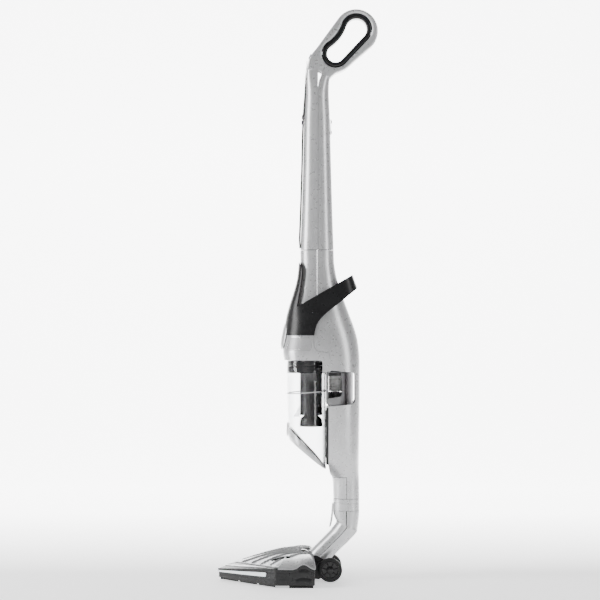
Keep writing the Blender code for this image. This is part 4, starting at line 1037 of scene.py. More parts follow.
def vent_point(x, z):
    section = section_at(BODY_SECTIONS, z)
    return ring_point(*section, edge_angle(section[0], section[1], section[3], x, -0.4), -0.4)


def grilles():
    """The perforated panels in the front ring's side ports."""
    for name, side in SIDES:
        rows = []
        for z in spaced(VENT_HIGH, VENT_LOW, 20):
            left = vent_left(z)
            over = max(0.0, abs(z - 456.0) - 6.0)
            right = 20.0 + math.sqrt(max(0.0, 36.0 - over * over)) - 0.1
            row = [(*vent_point(left + (right - left) * i / 48, z), z) for i in range(49)]
            rows.append(sided(row[::-1], side))
        panel = solidify(grid("grille_" + name, rows), 1.4)
        holes = []
        for r in range(11):
            for c in range(21):
                z = 445.6 + 2.1 * r
                x = -20.4 + 2.3 * c + (1.15 if r % 2 else 0.0)
                if vent_left(z) + 1.6 < x < 24.6 - max(0.0, abs(z - 456.0) - 7.5) * 0.9:
                    px, py = vent_point(x, z)
                    out = Vector((0.25 * (px - 40.0) / 60.0, side, 0.0))
                    middle = Vector((px, side * py, z))
                    holes.append(rod("hole", middle - out * 4.0, middle + out * 4.0, 0.62, 8))
        cut(panel, merged("holes", holes))
        dress(panel, "grey_plastic", ["vent_grille_" + name], 30.0, look="pale_grey")


def front_button():
    """The domed oval button that frees the bin, moulded to the ring's curve."""
    rows = []
    shape = [(0.0, 6.6), (0.12, 6.58), (0.25, 6.5), (0.4, 6.3), (0.55, 5.95), (0.7, 5.4), (0.82, 4.75),
             (0.91, 4.0),
             (0.96, 3.4), (0.985, 2.9), (1.0, 2.4), (1.0, 1.7), (0.5, 1.7), (0.0, 1.7)]
    for scale, lift in shape:
        row = []
        for a in turns(96):
            y, z = oval_point(a)
            y, z = y * max(scale, 0.02), BUTTON_Z + (z - BUTTON_Z) * max(scale, 0.02)
            front, back, width, square = section_at(BODY_SECTIONS, z)
            middle, depth = (front + back) / 2, (back - front) / 2
            row.append((middle - depth * (1 - (abs(y) / width) ** square) ** (1 / square) - lift, y, z))
        rows.append(row[::-1])
    made = solid_loft("release_button", rows)
    dress(made, "silver_plastic", ["container_release_button"], 40.0)


def bay_partitions():
    """The walls behind and above the bin, and the bolt through the body."""
    lower = block("bay_back", (54.6, -70.0, 224.0), (60.4, 70.0, 333.8))
    clip(lower, body_core("wall_limit", 345.0, 215.0, -WALL - 2.8))
    cut(lower, block("wall_hollow", (57.0, -38.0, 240.0), (70.0, 38.0, 330.0)))
    ribs = [block("rib", (54.0, y - 0.8, 236.0), (56.0, y + 0.8, 326.0), 0.3, 2) for y in (-28.0, -14.0, 0.0,
        14.0, 28.0)]
    join(lower, *ribs)
    dress(lower, "black_plastic", ["bay_wall"], 32.0, 0.4)
    upper = outline_solid("motor_wall", [[(-40.0, 426.0), (-40.0, 428.0), (62.6, 428.0), (62.6, 410.0),
                                          (54.6, 410.0),
                                          (54.6, 426.0)]], -70.0, 70.0)
    clip(upper, body_core("bulkhead_limit", 436.0, 405.0, -WALL - 1.6))
    dress(upper, "black_plastic", ["motor_bulkhead"], 32.0, 0.4)
    bolt = rod("body_bolt", (BOLT_X, -38.6, BOLT_Z), (BOLT_X, 38.6, BOLT_Z), 2.8, 48)
    for side in (-1, 1):
        cut(bolt, rod("socket", (BOLT_X, side * 36.6, BOLT_Z), (BOLT_X, side * 45.0, BOLT_Z), 1.5, 6))
    dress(bolt, "steel", ["housing_bolt"], 32.0, 0.25)


# ---------------------------------------------------------------- dust container
def bin_ring(z_of, offset):
    """A ring of the bin's wall, at heights given by x."""
    return [bin_point(a, z_of(bin_point(a, 300.0)[0]), offset) for a in turns(128)]


def bin_sleeve(name, slope, outer, outer_heights, inner, inner_heights):
    """A thin ring along the bin's wall: the space between two offsets, rising by the slope from front to back."""
    made = []
    for offset, heights in ((outer, outer_heights), (inner, inner_heights)):
        made.append(solid_loft(name, [bin_ring(lambda x, z=z: z + slope * x, offset) for z in heights]))
    ring = cut(*made)
    ring.name = name
    return ring


def container():
    """The clear bin, with a lip, a stepped shoulder and a foot cut on the slope, and its rib and tinted rim."""
    top = BAY_TOP_Z - 1.0
    rows = []
    for z, offset in ((top, 0.0), (top - 9.0, 0.0), (top - 9.8, -0.7), (top - 21.0, -0.7), (top - 22.0, 0.3),
                      (top - 26.0, 0.3), (top - 27.0, -0.2)):
        rows.append(bin_ring(lambda x, z=z: z, offset))
    for i in range(1, 13):
        share = i / 12
        rows.append(bin_ring(lambda x: (top - 27.0) + (lid_plane(x) - top + 27.0) * share,
                             -0.2 + 0.2 * ease(share)))
    wall = solidify(grid("clear_wall", rows, closed=True), 1.9)
    wall.name = "clear_container"
    dress(wall, "clear_plastic", ["dust_bin"], 34.0)
    rib = bin_sleeve("container_rib", 0.069, 0.7, (362.4, 360.4), -0.3, (364.0, 358.0))
    dress(rib, "clear_plastic", [], 34.0, body="container", look="pale_grey")
    tint = bin_sleeve("tinted_rim", 0.0, -2.4, (top - 0.6, top - 23.0), -3.6, (top + 2.0, top - 26.0))
    dress(tint, "smoked_plastic", [], 34.0, body="container")


def grown_ring(offset, height):
    """A ring of the lid, on the bin's lower outline."""
    points = [bin_point(a, 270.0, offset) for a in turns(128)]
    return [(x, y, height(x)) for x, y, _ in points]


def lid():
    """The sloping lid, its seal and its clip."""
    def level(share):
        return lambda x: lid_plane(x) - GAP + (lid_bottom(x) - lid_plane(x) + GAP) * share

    rows = []
    for share, offset in ((0.0, 0.2), (0.03, 0.55), (0.12, 0.6), (0.14, 0.25), (0.18, 0.25), (0.2, 0.6),
                          (0.55, 0.6),
                          (0.75, 0.35), (0.88, -0.3), (0.96, -1.2), (1.0, -2.2)):
        rows.append(grown_ring(offset, level(share)))
    for inner in (-12.0, -26.0):
        rows.append(grown_ring(inner, level(1.0)))
    made = solidify(grid("sloping_lid", rows, closed=True, cap_end=True), 2.0)
    dress(made, "silver_plastic", ["bin_lid"], 32.0, 0.3)
    seal_shape = ((0.03, -2.4), (0.06, -2.1), (0.1, -2.1), (0.13, -2.4), (0.2, -2.4))
    seal_rows = [grown_ring(offset, level(share)) for share, offset in seal_shape]
    seal = solidify(grid("lid_gasket", seal_rows, closed=True), 1.5)
    dress(seal, "rubber", ["lid_seal"], 32.0)
    shape = smooth_loop([(-19.4, 303.0), (-20.8, 302.6), (-21.2, 295.0), (-21.6, 284.0), (-20.6, 277.4),
                         (-19.8, 277.6),
                         (-19.2, 284.0), (-19.0, 295.0)], 5)
    clip_piece = outline_solid("lid_clip", [shape], -9.0, 9.0, 0.35, 2)
    grooves = [rod("groove", (-22.2, -6.5, z), (-22.2, 6.5, z), 0.85, 16) for z in (287.0, 290.0, 293.0)]
    cut(clip_piece, *grooves)
    dress(clip_piece, "grey_plastic", ["lid_latch"], 36.0)


def cyclone():
    """The cap, the smoked sleeve, the ribbed and perforated core, and the vane at the inlet."""
    cap = lathe("cyclone_top", [(14.0, 422.0), (19.0, 421.6), (23.4, 419.6), (24.0, 418.6), (24.0, 413.4),
                                (23.2, 412.8),
                                (23.2, 410.6), (24.0, 410.0), (24.0, 403.4), (23.4, 402.6), (20.4, 400.8),
                                (14.0, 400.6)],
                CYCLONE_FOOT, UP)
    cut(cap, blocks_round_cyclone((22.4, -0.6, 404.0), (23.9, 0.6, 409.4), 0.25, 20))
    dress(cap, "black_plastic", ["cyclone_cap"], 32.0, look="gloss_black")

    shroud = lathe("cyclone_sleeve", [(22.2, 400.0), (22.2, 397.0), (21.9, 396.6), (21.9, 323.0),
                                      (22.2, 322.4),
                                      (22.2, 318.0), (20.0, 318.0), (20.0, 400.0)], CYCLONE_FOOT, UP)
    dress(shroud, "smoked_plastic", ["cyclone_shroud"], 34.0)

    core = lathe("cyclone_core", [(11.0, 399.0), (13.0, 399.0), (13.0, 318.0), (15.2, 316.0), (18.4, 314.0),
                                  (20.6, 311.6),
                                  (21.8, 307.0), (22.4, 301.0), (22.4, 297.0), (21.8, 296.0), (19.4, 296.0),
                                  (19.0, 297.0),
                                  (18.2, 305.0), (17.6, 309.6), (15.0, 313.6), (11.0, 317.0)],
                 CYCLONE_FOOT, UP)
    join(core, blocks_round_cyclone((12.4, -0.7, 322.0), (13.9, 0.7, 397.0), 0.3, 16))
    holes = []
    for r in range(5):
        for i in range(36):
            a = 2 * math.pi * (i + 0.5 * (r % 2)) / 36
            z = 299.0 + 2.5 * r
            reach = Vector((math.cos(a), math.sin(a), 0.0))
            middle = Vector((CYCLONE_X, 0.0, z)) + reach * 21.0
            holes.append(rod("hole", middle - reach * 5.0, middle + reach * 3.0, 0.75, 8))
    cut(core, merged("holes", holes))
    dress(core, "black_plastic", ["cyclone_screen"], 34.0, look="gloss_black")

    flap = outline_solid("inlet_vane", [smooth_loop([(3.0, 334.0), (0.6, 330.2), (-7.0, 317.0), (-6.6, 316.0),
                                                     (3.0, 315.1),
                                                     (3.3, 316.0)], 3)], -12.0, 12.0, 0.3, 2)
    dress(flap, "clear_plastic", ["inlet_flap"], 34.0, look="frosted_clear")


def bow_ring(z, low, high, count, offset):
    """Points of the bow's section between two angles."""
    width = section_at(BODY_SECTIONS, z)[2] - 0.6
    return [(*ring_point(BOW_FRONT, BOW_BACK, width, BOW_SQUARE, low + (high - low) * i / count, offset), z)
            for i in range(count + 1)]


def bow_and_filter():
    """The grey bow behind the bin, with a window on each side that shows the round filter."""
    rows = []
    for z, inset in ((402.1, -2.2), (401.4, -1.4), (399.6, -0.8), (341.0, -0.8), (339.2, -1.4),
                     (338.4, -2.2)):
        edge = edge_angle(BOW_FRONT, BOW_BACK, BOW_SQUARE, BOW_EDGE_X, inset)
        inner = edge_angle(BOW_FRONT, BOW_BACK, BOW_SQUARE, BOW_EDGE_X, inset - 5.0)
        rows.append(bow_ring(z, -edge, edge, 80, inset) + bow_ring(z, inner, -inner, 80, inset - 5.0))
    bow = solid_loft("container_bow", rows)
    window = [(40.0, 395.0), (40.0, 349.0), (56.0, 351.4), *arc((78.6, 361.0), 6.0, -78.0, 0.0, 8),
              *arc((78.4, 387.4), 5.6, 10.0, 80.0, 8), (56.0, 395.0)]
    cut(bow, outline_solid("filter_window", [window], -80.0, 80.0))
    join(bow, block("bow_front", (54.6, -49.5, 341.0), (58.6, 49.5, 399.5), 0.4))
    web = block("web", (56.0, -1.5, 341.5), (88.5, 1.5, 399.0), 0.4)
    cut(web, rod("filter_room", (FILTER_X, 0.0, 363.0), (FILTER_X, 0.0, 395.0), 13.2, 64))
    join(bow, web)
    seat = lathe("filter_seat", [(9.0, 363.2), (9.6, 362.4), (9.6, 358.0), (7.0, 356.6), (7.0, 351.0),
                                 (0.0, 351.0), (0.0, 363.2)],
                 FILTER_FOOT, UP, 64)
    join(bow, seat)
    dress(bow, "grey_plastic", ["container_frame"], 32.0, 0.6, 3)

    low, high = (edge_angle(BOW_FRONT, BOW_BACK, BOW_SQUARE, x) for x in (83.0, 59.4))
    for name, side in SIDES:
        rows = []
        for z, trim in ((401.0, 0.0), (400.4, 0.5), (395.6, 0.5), (395.0, 0.0)):
            loop = bow_ring(z, low, high, 24, -0.9 + trim) + bow_ring(z, low, high, 24, -2.4)[::-1]
            rows.append(sided(loop, side))
        strip = clean(solid_loft("filter_brow_" + name, rows))
        dress(strip, "black_plastic", [], 32.0, body="container")

    pleats = []
    count = 36
    for z in (394.0, 364.0):
        row = []
        for a in turns(count * 4):
            r = 11.9 + 0.7 * math.cos(count * a)
            row.append((FILTER_X + r * math.cos(a), r * math.sin(a), z))
        pleats.append(row)
    body = solid_loft("pleats", pleats)
    cut(body, rod("filter_bore", (FILTER_X, 0, 360.0), (FILTER_X, 0, 398.0), 6.0, 48))
    bands = []
    for z in (365.0, 372.4, 379.6, 386.8, 393.0):
        bands.append(lathe("band", [(12.6, z + 0.7), (12.8, z), (12.6, z - 0.7), (10.6, z - 0.7),
                                    (10.6, z + 0.7)],
                           FILTER_FOOT, UP))
    cartridge = merged("pleated_cartridge", [body, *bands])
    dress(cartridge, "filter_fleece", ["pleated_filter"], 32.0)


# ---------------------------------------------------------------- floor head
def head_plan(inset=0.0, notch=True):
    """The head's outline seen from above, counter-clockwise, as (x, y) with the share of the way along the front edge."""
    half = []
    corner = Vector((HEAD_CORNER_X, HEAD_HALF_WIDTH))
    tip = Vector((HEAD_TIP_X, 0.0))
    along = (corner - tip).normalized()
    for i in range(61):
        share = 0.02 + (0.975 - 0.02) * i / 60
        bow = 2.5 * math.sin(math.pi * share)
        p = tip.lerp(corner, share) + Vector((-along.y, along.x)) * bow
        half.append((p.x, p.y, share))
    start = half[-1]
    for i in range(1, 9):
        t = i / 8
        x = start[0] + (HEAD_CORNER_X + 5.0 - start[0]) * t
        y = start[1] + (HEAD_HALF_WIDTH - start[1]) * (1 - (1 - t) ** 2)
        half.append((x, y, start[2] + (1.0 - start[2]) * t))
    for i in range(1, 34):
        half.append((HEAD_CORNER_X + 5.0 + (HEAD_REAR_X - 4.0 - HEAD_CORNER_X - 5.0) * i / 33,
                     HEAD_HALF_WIDTH, 1.0))
    for i in range(1, 7):
        a = math.radians(90 - 15 * i)
        half.append((HEAD_REAR_X - 4.0 + 4.0 * math.cos(a), HEAD_HALF_WIDTH - 4.0 + 4.0 * math.sin(a), 1.0))
    for i in range(1, 25):
        half.append((HEAD_REAR_X, HEAD_HALF_WIDTH - 4.0 + (31.0 - HEAD_HALF_WIDTH + 4.0) * i / 24, 1.0))
    if notch:
        half += [(HEAD_REAR_X, NOTCH_HALF_WIDTH, 1.0), (NOTCH_X, NOTCH_HALF_WIDTH, 1.0),
                 (NOTCH_X, NOTCH_HALF_WIDTH / 2, 1.0)]
    else:
        half += [(HEAD_REAR_X, 20.0, 1.0), (HEAD_REAR_X, 8.0, 1.0)]
    full = [(HEAD_TIP_X, 0.0, 0.0)] + [(x, -y, s) for x, y, s in half] + [(x, y, s) for x, y,
        s in reversed(half)]
    return inset_plan(full, inset) if inset else full


def front_edge(limit):
    """The plan's points along both front edges, from the right corner round the tip to the left one."""
    front = [p for p in head_plan(notch=False) if p[2] < limit]
    split = [i for i, p in enumerate(front) if p[1] > 0][0]
    return front[split:] + front[:split]


RIDGES = ((0.20, 6.0), (0.44, 17.0), (0.65, 33.0), (0.82, 56.0))


def ridge_lift(x, y):
    """Raised ribs that run from the front edges back to the neck, each with a hollow on its outer side."""
    lift = 0.0
    for share, end_y in RIDGES:
        start_x = HEAD_TIP_X + (HEAD_CORNER_X - HEAD_TIP_X) * share + 6.0
        start_y = HEAD_HALF_WIDTH * share - 4.0
        along = (x - start_x) / (26.0 - start_x)
        if along < 0.0:
            continue
        line = start_y + (end_y - start_y) * (1 - (1 - min(along, 1.0)) ** 1.35)
        off = abs(y) - line
        fade = ease(along / 0.10) * ease((1.25 - along) / 0.3)
        lift += fade * 2.1 * math.exp(-((off / 1.7) ** 2))
        if off > 0:
            lift -= fade * 1.5 * math.exp(-off / 10.0) * ease(off / 3.0)
    return lift


def top_cover():
    plan = head_plan(notch=False)
    rows = []
    steps = 64
    for i in range(1, steps + 1):
        spread = i / steps
        row = []
        for x, y, s in plan:
            reach = silver_share(s) if s < 1.0 else 1.0
            px, py, pz = cover_point((x, y, s), spread * reach)
            rim = ease((spread - 0.955) / 0.02) if s < 1.0 else 0.0
            pz += ridge_lift(px, py) * (1 - rim) * ease((1.0 - spread) / 0.03 + (0.0 if s < 1.0 else 0.3))
            pz += 0.9 * rim * (1 - ease((spread - 0.985) / 0.015))
            row.append((px, py, pz))
        rows.append(row)
    for i in range(20, 0, -1):
        row = []
        for x, y, s in plan:
            reach = silver_share(s) if s < 1.0 else 1.0
            px, py, pz = cover_point((x, y, s), i / 20 * reach)
            row.append((px * 0.99, py * 0.99, pz - 2.2))
        rows.append(row)
    cover = clean(grid("top_shell", rows, closed=True, cap_start=True, cap_end=True))
    notch = block("neck_notch", (NOTCH_X - 1.0, -NOTCH_HALF_WIDTH - 1.0, 20.0),
                  (60.0, NOTCH_HALF_WIDTH + 1.0, 80.0), 3.0, 4)
    slots = []
    for side in (-1, 1):
        crescent = smooth_loop([(-48.0, 70.5), (-30.0, 68.6), (-16.5, 72.0), (-13.5, 80.0), (-16.5, 88.0),
                                (-30.0, 87.5),
                                (-48.0, 85.5)], 6)
        turn = [(x, side * y) for x, y in crescent]
        slots.append(plan_solid("slot", turn if side > 0 else turn[::-1], 30.0, 75.0))
    cut(cover, notch, *slots)
    # The cover is silver plastic, shown in a darker silver as painted shade.
    dress(cover, "silver_plastic", ["head_top_cover"], 28.0, 0.35, look="painted_shade_silver")
    for name, side in SIDES:
        shape = smooth_loop([(-38.0, 73.5), (-30.0, 71.5), (-22.0, 73.5), (-20.0, 79.0), (-22.0, 84.0),
                             (-30.0, 85.0),
                             (-38.0, 83.0)], 6)
        turn = [(x, side * y) for x, y in shape]
        lower = turn if side > 0 else turn[::-1]
        rows = [[(-30.0 + (x + 30.0) * k, side * 78.0 + (y - side * 78.0) * k, z) for x, y in lower]
                for z, k in ((47.0, 0.86), (46.8, 0.93), (46.2, 0.98), (45.4, 1.0), (43.0, 1.0))]
        latch = solid_loft("head_latch_" + name, rows)
        crest = [(-27.6, 44.0), (-27.0, 48.0), (-25.2, 51.4), (-23.4, 52.5), (-21.6, 51.6), (-20.8, 48.0),
                 (-20.6, 44.0)]
        low, high = sorted((side * 73.0, side * 84.0))
        join(latch, outline_solid("crest", [smooth_loop(crest, 5)], low, high, 0.8, 3))
        latch.name = "head_latch_" + name
        dress(latch, "grey_plastic", ["brush_latch_" + name], 36.0, look="pale_grey")


def nose():
    ordered = front_edge(0.999)
    rows = []
    for i in range(11):
        row = []
        for x, y, s in ordered:
            start = silver_share(s) + 0.006
            t = i / 10
            px, py, pz = cover_point((x, y, s), start + (1.0 - start) * t)
            row.append((px, py, pz - 0.5 * ease((0.12 - t) / 0.12)))
        rows.append(row)
    rows.append([(x * 0.9985, y * 0.9985, z - 0.8) for x, y, z in rows[-1]])
    rows.append([(x * 0.996, y * 0.996, z - 2.6) for x, y, z in rows[-1]])
    deck = solidify(grid("nose_deck", rows), 1.3)
    dress(deck, "black_plastic", ["front_deck"], 30.0, 0.3)

    ordered = front_edge(0.86)
    rows = []
    for i in range(5):
        row = []
        for x, y, s in ordered:
            start = silver_share(s) + 0.006
            swell = 0.35 + 0.65 * ease(s / 0.45)
            end = math.sqrt(max(0.0, 1 - max(0.0, (s - 0.82) / 0.04) ** 2))
            t = 0.51 + (i / 4 - 0.5) * 0.30 * swell * end
            px, py, pz = cover_point((x, y, s), start + (1.0 - start) * t)
            row.append((px, py, pz + 0.9 + 0.25 * math.sin(math.pi * i / 4)))
        rows.append(row)
    trim = solidify(grid("nose_trim_line", rows), 0.8)
    dress(trim, "silver_plastic", ["nose_trim"], 36.0)


def follow_front(name, low, high, inset, thickness, ends=0.86, steps=1, crown=0.0, round_end=0.0):
    """A band along both front edges, between two heights given at the tip and at the corner."""
    plan = inset_plan(head_plan(notch=False), inset)
    front = [p for p in plan if 0.0 <= p[2] < ends]
    split = [i for i, p in enumerate(front) if p[1] > 0][0]
    ordered = front[split:] + front[:split]
    rows = []
    for i in range(steps + 1):
        t = i / steps
        row = []
        for x, y, s in ordered:
            top, bottom = high[0] + (high[1] - high[0]) * s, low[0] + (low[1] - low[0]) * s
            if round_end:
                near = max(0.0, (s - ends + round_end) / round_end)
                shrink = math.sqrt(max(0.02, 1 - near**2))
                middle, half = (top + bottom) / 2, (top - bottom) / 2 * shrink
                top, bottom = middle + half, middle - half
            out = 1 + crown * math.sin(math.pi * t) / 130.0
            row.append((x * out, y * out, top + (bottom - top) * t))
        rows.append(row)
    return solidify(grid(name, rows), thickness)


def lamp_and_bumper():
    lens = follow_front("light_strip", (15.6, 20.4), (18.6, 29.2), 0.0, 1.2, 0.86, 6, 0.35, 0.035)
    dress(lens, "lamp_lens", ["lamp_lens"], 40.0)

    made = follow_front("lower_bumper", (1.2, 1.2), (12.0, 12.0), 6.6, 3.0, 0.97, 8)
    corner = Vector((HEAD_CORNER_X, HEAD_HALF_WIDTH))
    tip = Vector((HEAD_TIP_X, 0.0))
    for side in (-1, 1):
        for share in (0.34, 0.67):
            p = tip.lerp(corner, share)
            join_line = (Vector((p.x - 12, side * p.y + side * 14, 0.6)),
                         Vector((p.x + 26, side * p.y - side * 30, 0.6)))
            cut(made, rod("notch", *join_line, 5.0, 8))
    dress(made, "rubber", ["front_bumper"], 32.0, 0.5)


def base():
    plan = head_plan(inset=1.6)
    rows = []
    for level, step in ((1.0, 0.0), (0.86, 0.0), (0.84, -0.35), (0.80, -0.35), (0.78, 0.0), (0.42, 0.0),
                        (0.40, -0.35),
                        (0.36, -0.35), (0.34, 0.0), (0.04, 0.0)):
        moved = inset_plan(head_plan(), 1.6 - step) if step else plan
        rows.append([(x, y, 6.0 + (wall_top(px, s) - 2.8 - 6.0) * level)
                     for (x, y, s), (px, _, _) in zip(moved, plan)])
    rows.append([(x, y, 5.0) for x, y, s in head_plan(inset=2.4)])
    rows.append([(x, y, 4.6) for x, y, s in head_plan(inset=3.4)])
    made = solidify(grid("head_skirt", rows, closed=True), WALL)
    for side in (-1, 1):
        near, far = side * 24.8, side * 29.8
        arm = [(3.0, 33.0), (3.0, 10.0), (40.0, 4.0)]
        arm += arc((AXLE_X, WHEEL_RADIUS), 12.0, -110.0, 100.0, 32)
        arm += [(44.0, 36.0)]
        join(made, outline_solid("bracket", [arm], min(near, far), max(near, far), 0.6, 2))
        cut(made, axle_hole(side, near, far))
    dress(made, "black_plastic", ["head_base"], 30.0, 0.35)


def underside():
    half = [(-134.0, 5.0), (-40.0, 112.0), (-33.0, 119.0), (24.0, 119.0), (24.0, 42.0), (-2.0, 36.0)]
    plan = [(x, -y) for x, y in half] + [(x, y) for x, y in reversed(half)]
    plate = solid_loft("sole", [[(x, y, z) for x, y in plan] for z in (7.6, 5.2)])
    cut(plate, block("brush_slot", (BRUSH_X - 20.0, -104.0, 0.0), (BRUSH_X + 19.0, 104.0, 20.0)),
        block("mouth", (BRUSH_X - 30.0, -90.0, 0.0), (BRUSH_X - 10.0, 90.0, 20.0)))
    bars = [block("bar", (BRUSH_X - 30.6, y - 1.0, 5.3), (BRUSH_X + 19.6, y + 1.0, 6.9), 0.5,
                  2) for y in (-66.0, -22.0, 22.0, 66.0)]
    ribs = []
    for side in (-1, 1):
        for k in range(4):
            ribs.append(block("rib", (5.0, side * (52.0 + 16.0 * k) - 1.0, 4.7),
                              (21.0, side * (52.0 + 16.0 * k) + 1.0, 5.6), 0.4, 2))
        ribs.append(lathe("screw_boss", [(0.0, 5.6), (4.0, 5.6), (4.0, 4.9), (2.6, 4.7), (2.4, 5.2),
                                         (0.0, 5.2)],
                          (-60.0, side * 62.0, 0.0), (0, 0, 1), 48))
    join(plate, *bars, *ribs)
    dress(plate, "black_plastic", ["sole_plate"], 32.0, 0.3)
    for name, side in SIDES:
        low, high = sorted((side * 117.0, side * 129.0))
        pad = block("floor_pad_" + name, (-16.0, low, 0.0), (29.5, high, 4.2), 1.4, 4)
        dress(pad, "rubber", ["side_pad_" + name], 40.0)


def roller():
    """The brush's core and the tufts that wind along it."""
    profile = [
        (0.0, 122.0), (3.4, 122.0), (4.0, 121.4), (4.0, 118.0), (8.4, 118.0), (9.0, 117.4), (9.0, 116.4),
        (8.2, 116.0),
        (8.2, 110.0), (9.0, 109.6), (9.0, 108.6), (8.4, 108.0), (5.0, 107.0), (5.0, 100.0), (10.4, 100.0),
        (11.0, 99.4),
        (11.0, -99.4), (10.4, -100.0), (5.0, -100.0), (5.0, -112.0), (0.0, -112.0),
    ]
    core = lathe("roller_core", profile, (BRUSH_X, 0.0, BRUSH_Z), (0.0, 1.0, 0.0), 64)
    dress(core, "grey_plastic", ["brush_roller"], 32.0)
    tufts = []
    for i in range(47):
        share = i / 46
        middle = Vector((BRUSH_X, -96.0 + 192.0 * share, BRUSH_Z))
        for j in range(5):
            a = 2 * math.pi * 0.75 * share + (j - 2) * 0.055
            lean = 0.05 * math.sin(7.3 * i + 2.1 * j)
            foot = Vector((math.cos(a), 0.0, math.sin(a)))
            top = Vector((math.cos(a + lean), 0.0, math.sin(a + lean)))
            shift = Vector((0.0, 0.8 * math.sin(5.0 * j + i), 0.0))
            tufts.append(rod("tuft", middle + foot * 10.8, middle + top * 16.9 + shift, 0.75, 6, 1.0))
    brush = merged("roller_bristles", tufts)
    dress(brush, "soft_black", ["brush_bristles"], 40.0, look="bristle")


def wheels():
    axle = lathe("axle_pin", [(0.0, 43.4), (3.4, 43.4), (4.0, 42.8), (4.0, -42.8), (3.4, -43.4),
                              (0.0, -43.4)],
                 (AXLE_X, 0.0, WHEEL_RADIUS), (0, 1, 0), 64)
    dress(axle, "steel", ["wheel_axle"], 32.0)
    for name, side in SIDES:
        inner = side * WHEEL_IN
        way = (0.0, float(side), 0.0)
        depth = WHEEL_OUT - WHEEL_IN
        hub = lathe(
            "hub", [(17.0, depth - 0.7), (17.0, 0.6), (15.0, 0.6), (14.4, 5.0), (8.0, 5.0), (8.0, 0.2),
                    (BORE_RADIUS, 0.0),
                    (BORE_RADIUS, depth - 0.8), (0.0, depth - 0.8), (0.0, depth - 0.2), (4.0, depth - 0.3),
                    (6.4, depth - 0.8), (7.0, depth - 1.6),
                    (7.0, depth - 4.6), (14.6, depth - 4.6), (15.2, depth - 0.9), (15.6, depth - 0.6),
                    (16.4, depth - 0.6)],
            (AXLE_X, inner, WHEEL_RADIUS), way, 96,
        )
        spokes = []
        for i in range(7):
            a = 2 * math.pi * (i + 0.25) / 7
            reach = Vector((math.cos(a), 0.0, math.sin(a)))
            middle = Vector((AXLE_X, inner + side * (depth - 3.4), WHEEL_RADIUS))
            spokes.append(rod("spoke", middle + reach * 6.0, middle + reach * 15.2, 1.15, 12, 0.95))
        join(hub, *spokes)
        hub.name = "wheel_centre_" + name
        dress(hub, "black_plastic", ["wheel_hub_" + name], 32.0, look="gloss_black")
        tread = lathe(
            "tyre_" + name,
            [(17.4, depth), (20.8, depth), (22.0, depth - 0.5), (22.8, depth - 1.4), (23.0, depth - 2.6),
             (23.0, 8.2), (22.3, 7.9), (22.3, 6.1), (23.0, 5.8), (23.0, 2.6), (22.8, 1.4), (22.0, 0.5),
             (20.8, 0.0), (17.4, 0.0)],
            (AXLE_X, inner, WHEEL_RADIUS), way, 128,
        )
        dress(tread, "rubber", ["wheel_tyre_" + name], 30.0)


def belt_and_motor():
    lean = math.degrees(math.asin((BRUSH_PULLEY_RADIUS - PINION_RADIUS) / (MOTOR_X - BRUSH_X)))
    loops = []
    for offset in (2.0, 0.5):
        loop = arc((BRUSH_X, BRUSH_Z), BRUSH_PULLEY_RADIUS + offset, 90 - lean, 270 + lean, 48)
        loop += arc((MOTOR_X, BRUSH_Z), PINION_RADIUS + offset, -90 + lean, 90 - lean, 32)
        loops.append(loop)
    belt = outline_solid("belt_loop", loops, 109.0, 116.0, 0.25, 2)
    dress(belt, "rubber", ["drive_belt"], 32.0)


# ---------------------------------------------------------------- swivel yoke and neck
def swivel_yoke():
    top = swivel_point(TUBE_END_SUM - 0.8)
    ring = lathe("yoke_ring", [(21.0, 0.0), (21.6, -0.6), (21.6, -4.4), (21.0, -4.8), (21.0, -5.8),
                               (21.6, -6.2),
                               (21.6, -10.0), (15.5, -10.0), (15.5, 0.0)], top, SWIVEL_DIRECTION, 96)
    start = swivel_point(TUBE_END_SUM - 8.0)
    slope = math.degrees(math.atan2(WHEEL_RADIUS - start.z, AXLE_X - start.x))
    for side in (-1, 1):
        near, far = side * 20.7, side * 24.2
        cheek = arc((AXLE_X, WHEEL_RADIUS), 10.5, slope - 90, slope + 90, 32)
        cheek += arc((start.x, start.z), 10.5, slope + 90, slope + 270, 24)
        join(ring, outline_solid("cheek", [cheek], min(near, far), max(near, far), 0.5, 2))
        cut(ring, axle_hole(side, near, far))
    ring.name = "tilt_yoke"
    dress(ring, "black_plastic", ["swivel_yoke"], 32.0, 0.3)


def elbow_rows(angles):
    """Rows of the elbow and the sloping tube at the given angles, blended smoothly from one section to the next."""
    keys = []
    levels = ((COLLAR_BOTTOM_Z - GAP / 2, NECK_DEPTH, 0.0), (124.0, 24.6, 0.10), (109.0, 21.6, 0.45),
              (101.5, 19.8, 0.52))
    for z, depth, slope in levels:
        row = []
        for a in angles:
            x, y = ring_point(NECK_X - depth, NECK_X + depth, NECK_WIDTH - 1.0, 2.1, a)
            row.append((x, y, z - slope * (x - NECK_X)))
        keys.append(row)
    across = Vector((1.0, 0.0, -1.0)).normalized()
    for total, radius in ((166.0, 20.6), (150.0, 20.0), (TUBE_END_SUM + 14.0, 20.0), (TUBE_END_SUM, 19.6)):
        centre = swivel_point(total)
        keys.append([tuple(centre + across * radius * math.cos(a) + Vector((0, 1,
            0)) * radius * math.sin(a)) for a in angles])
    columns = [smooth_loop([row[c] for row in keys], 6, closed=False) for c in range(len(angles))]
    return [[column[r] for column in columns] for r in range(len(columns[0]))]


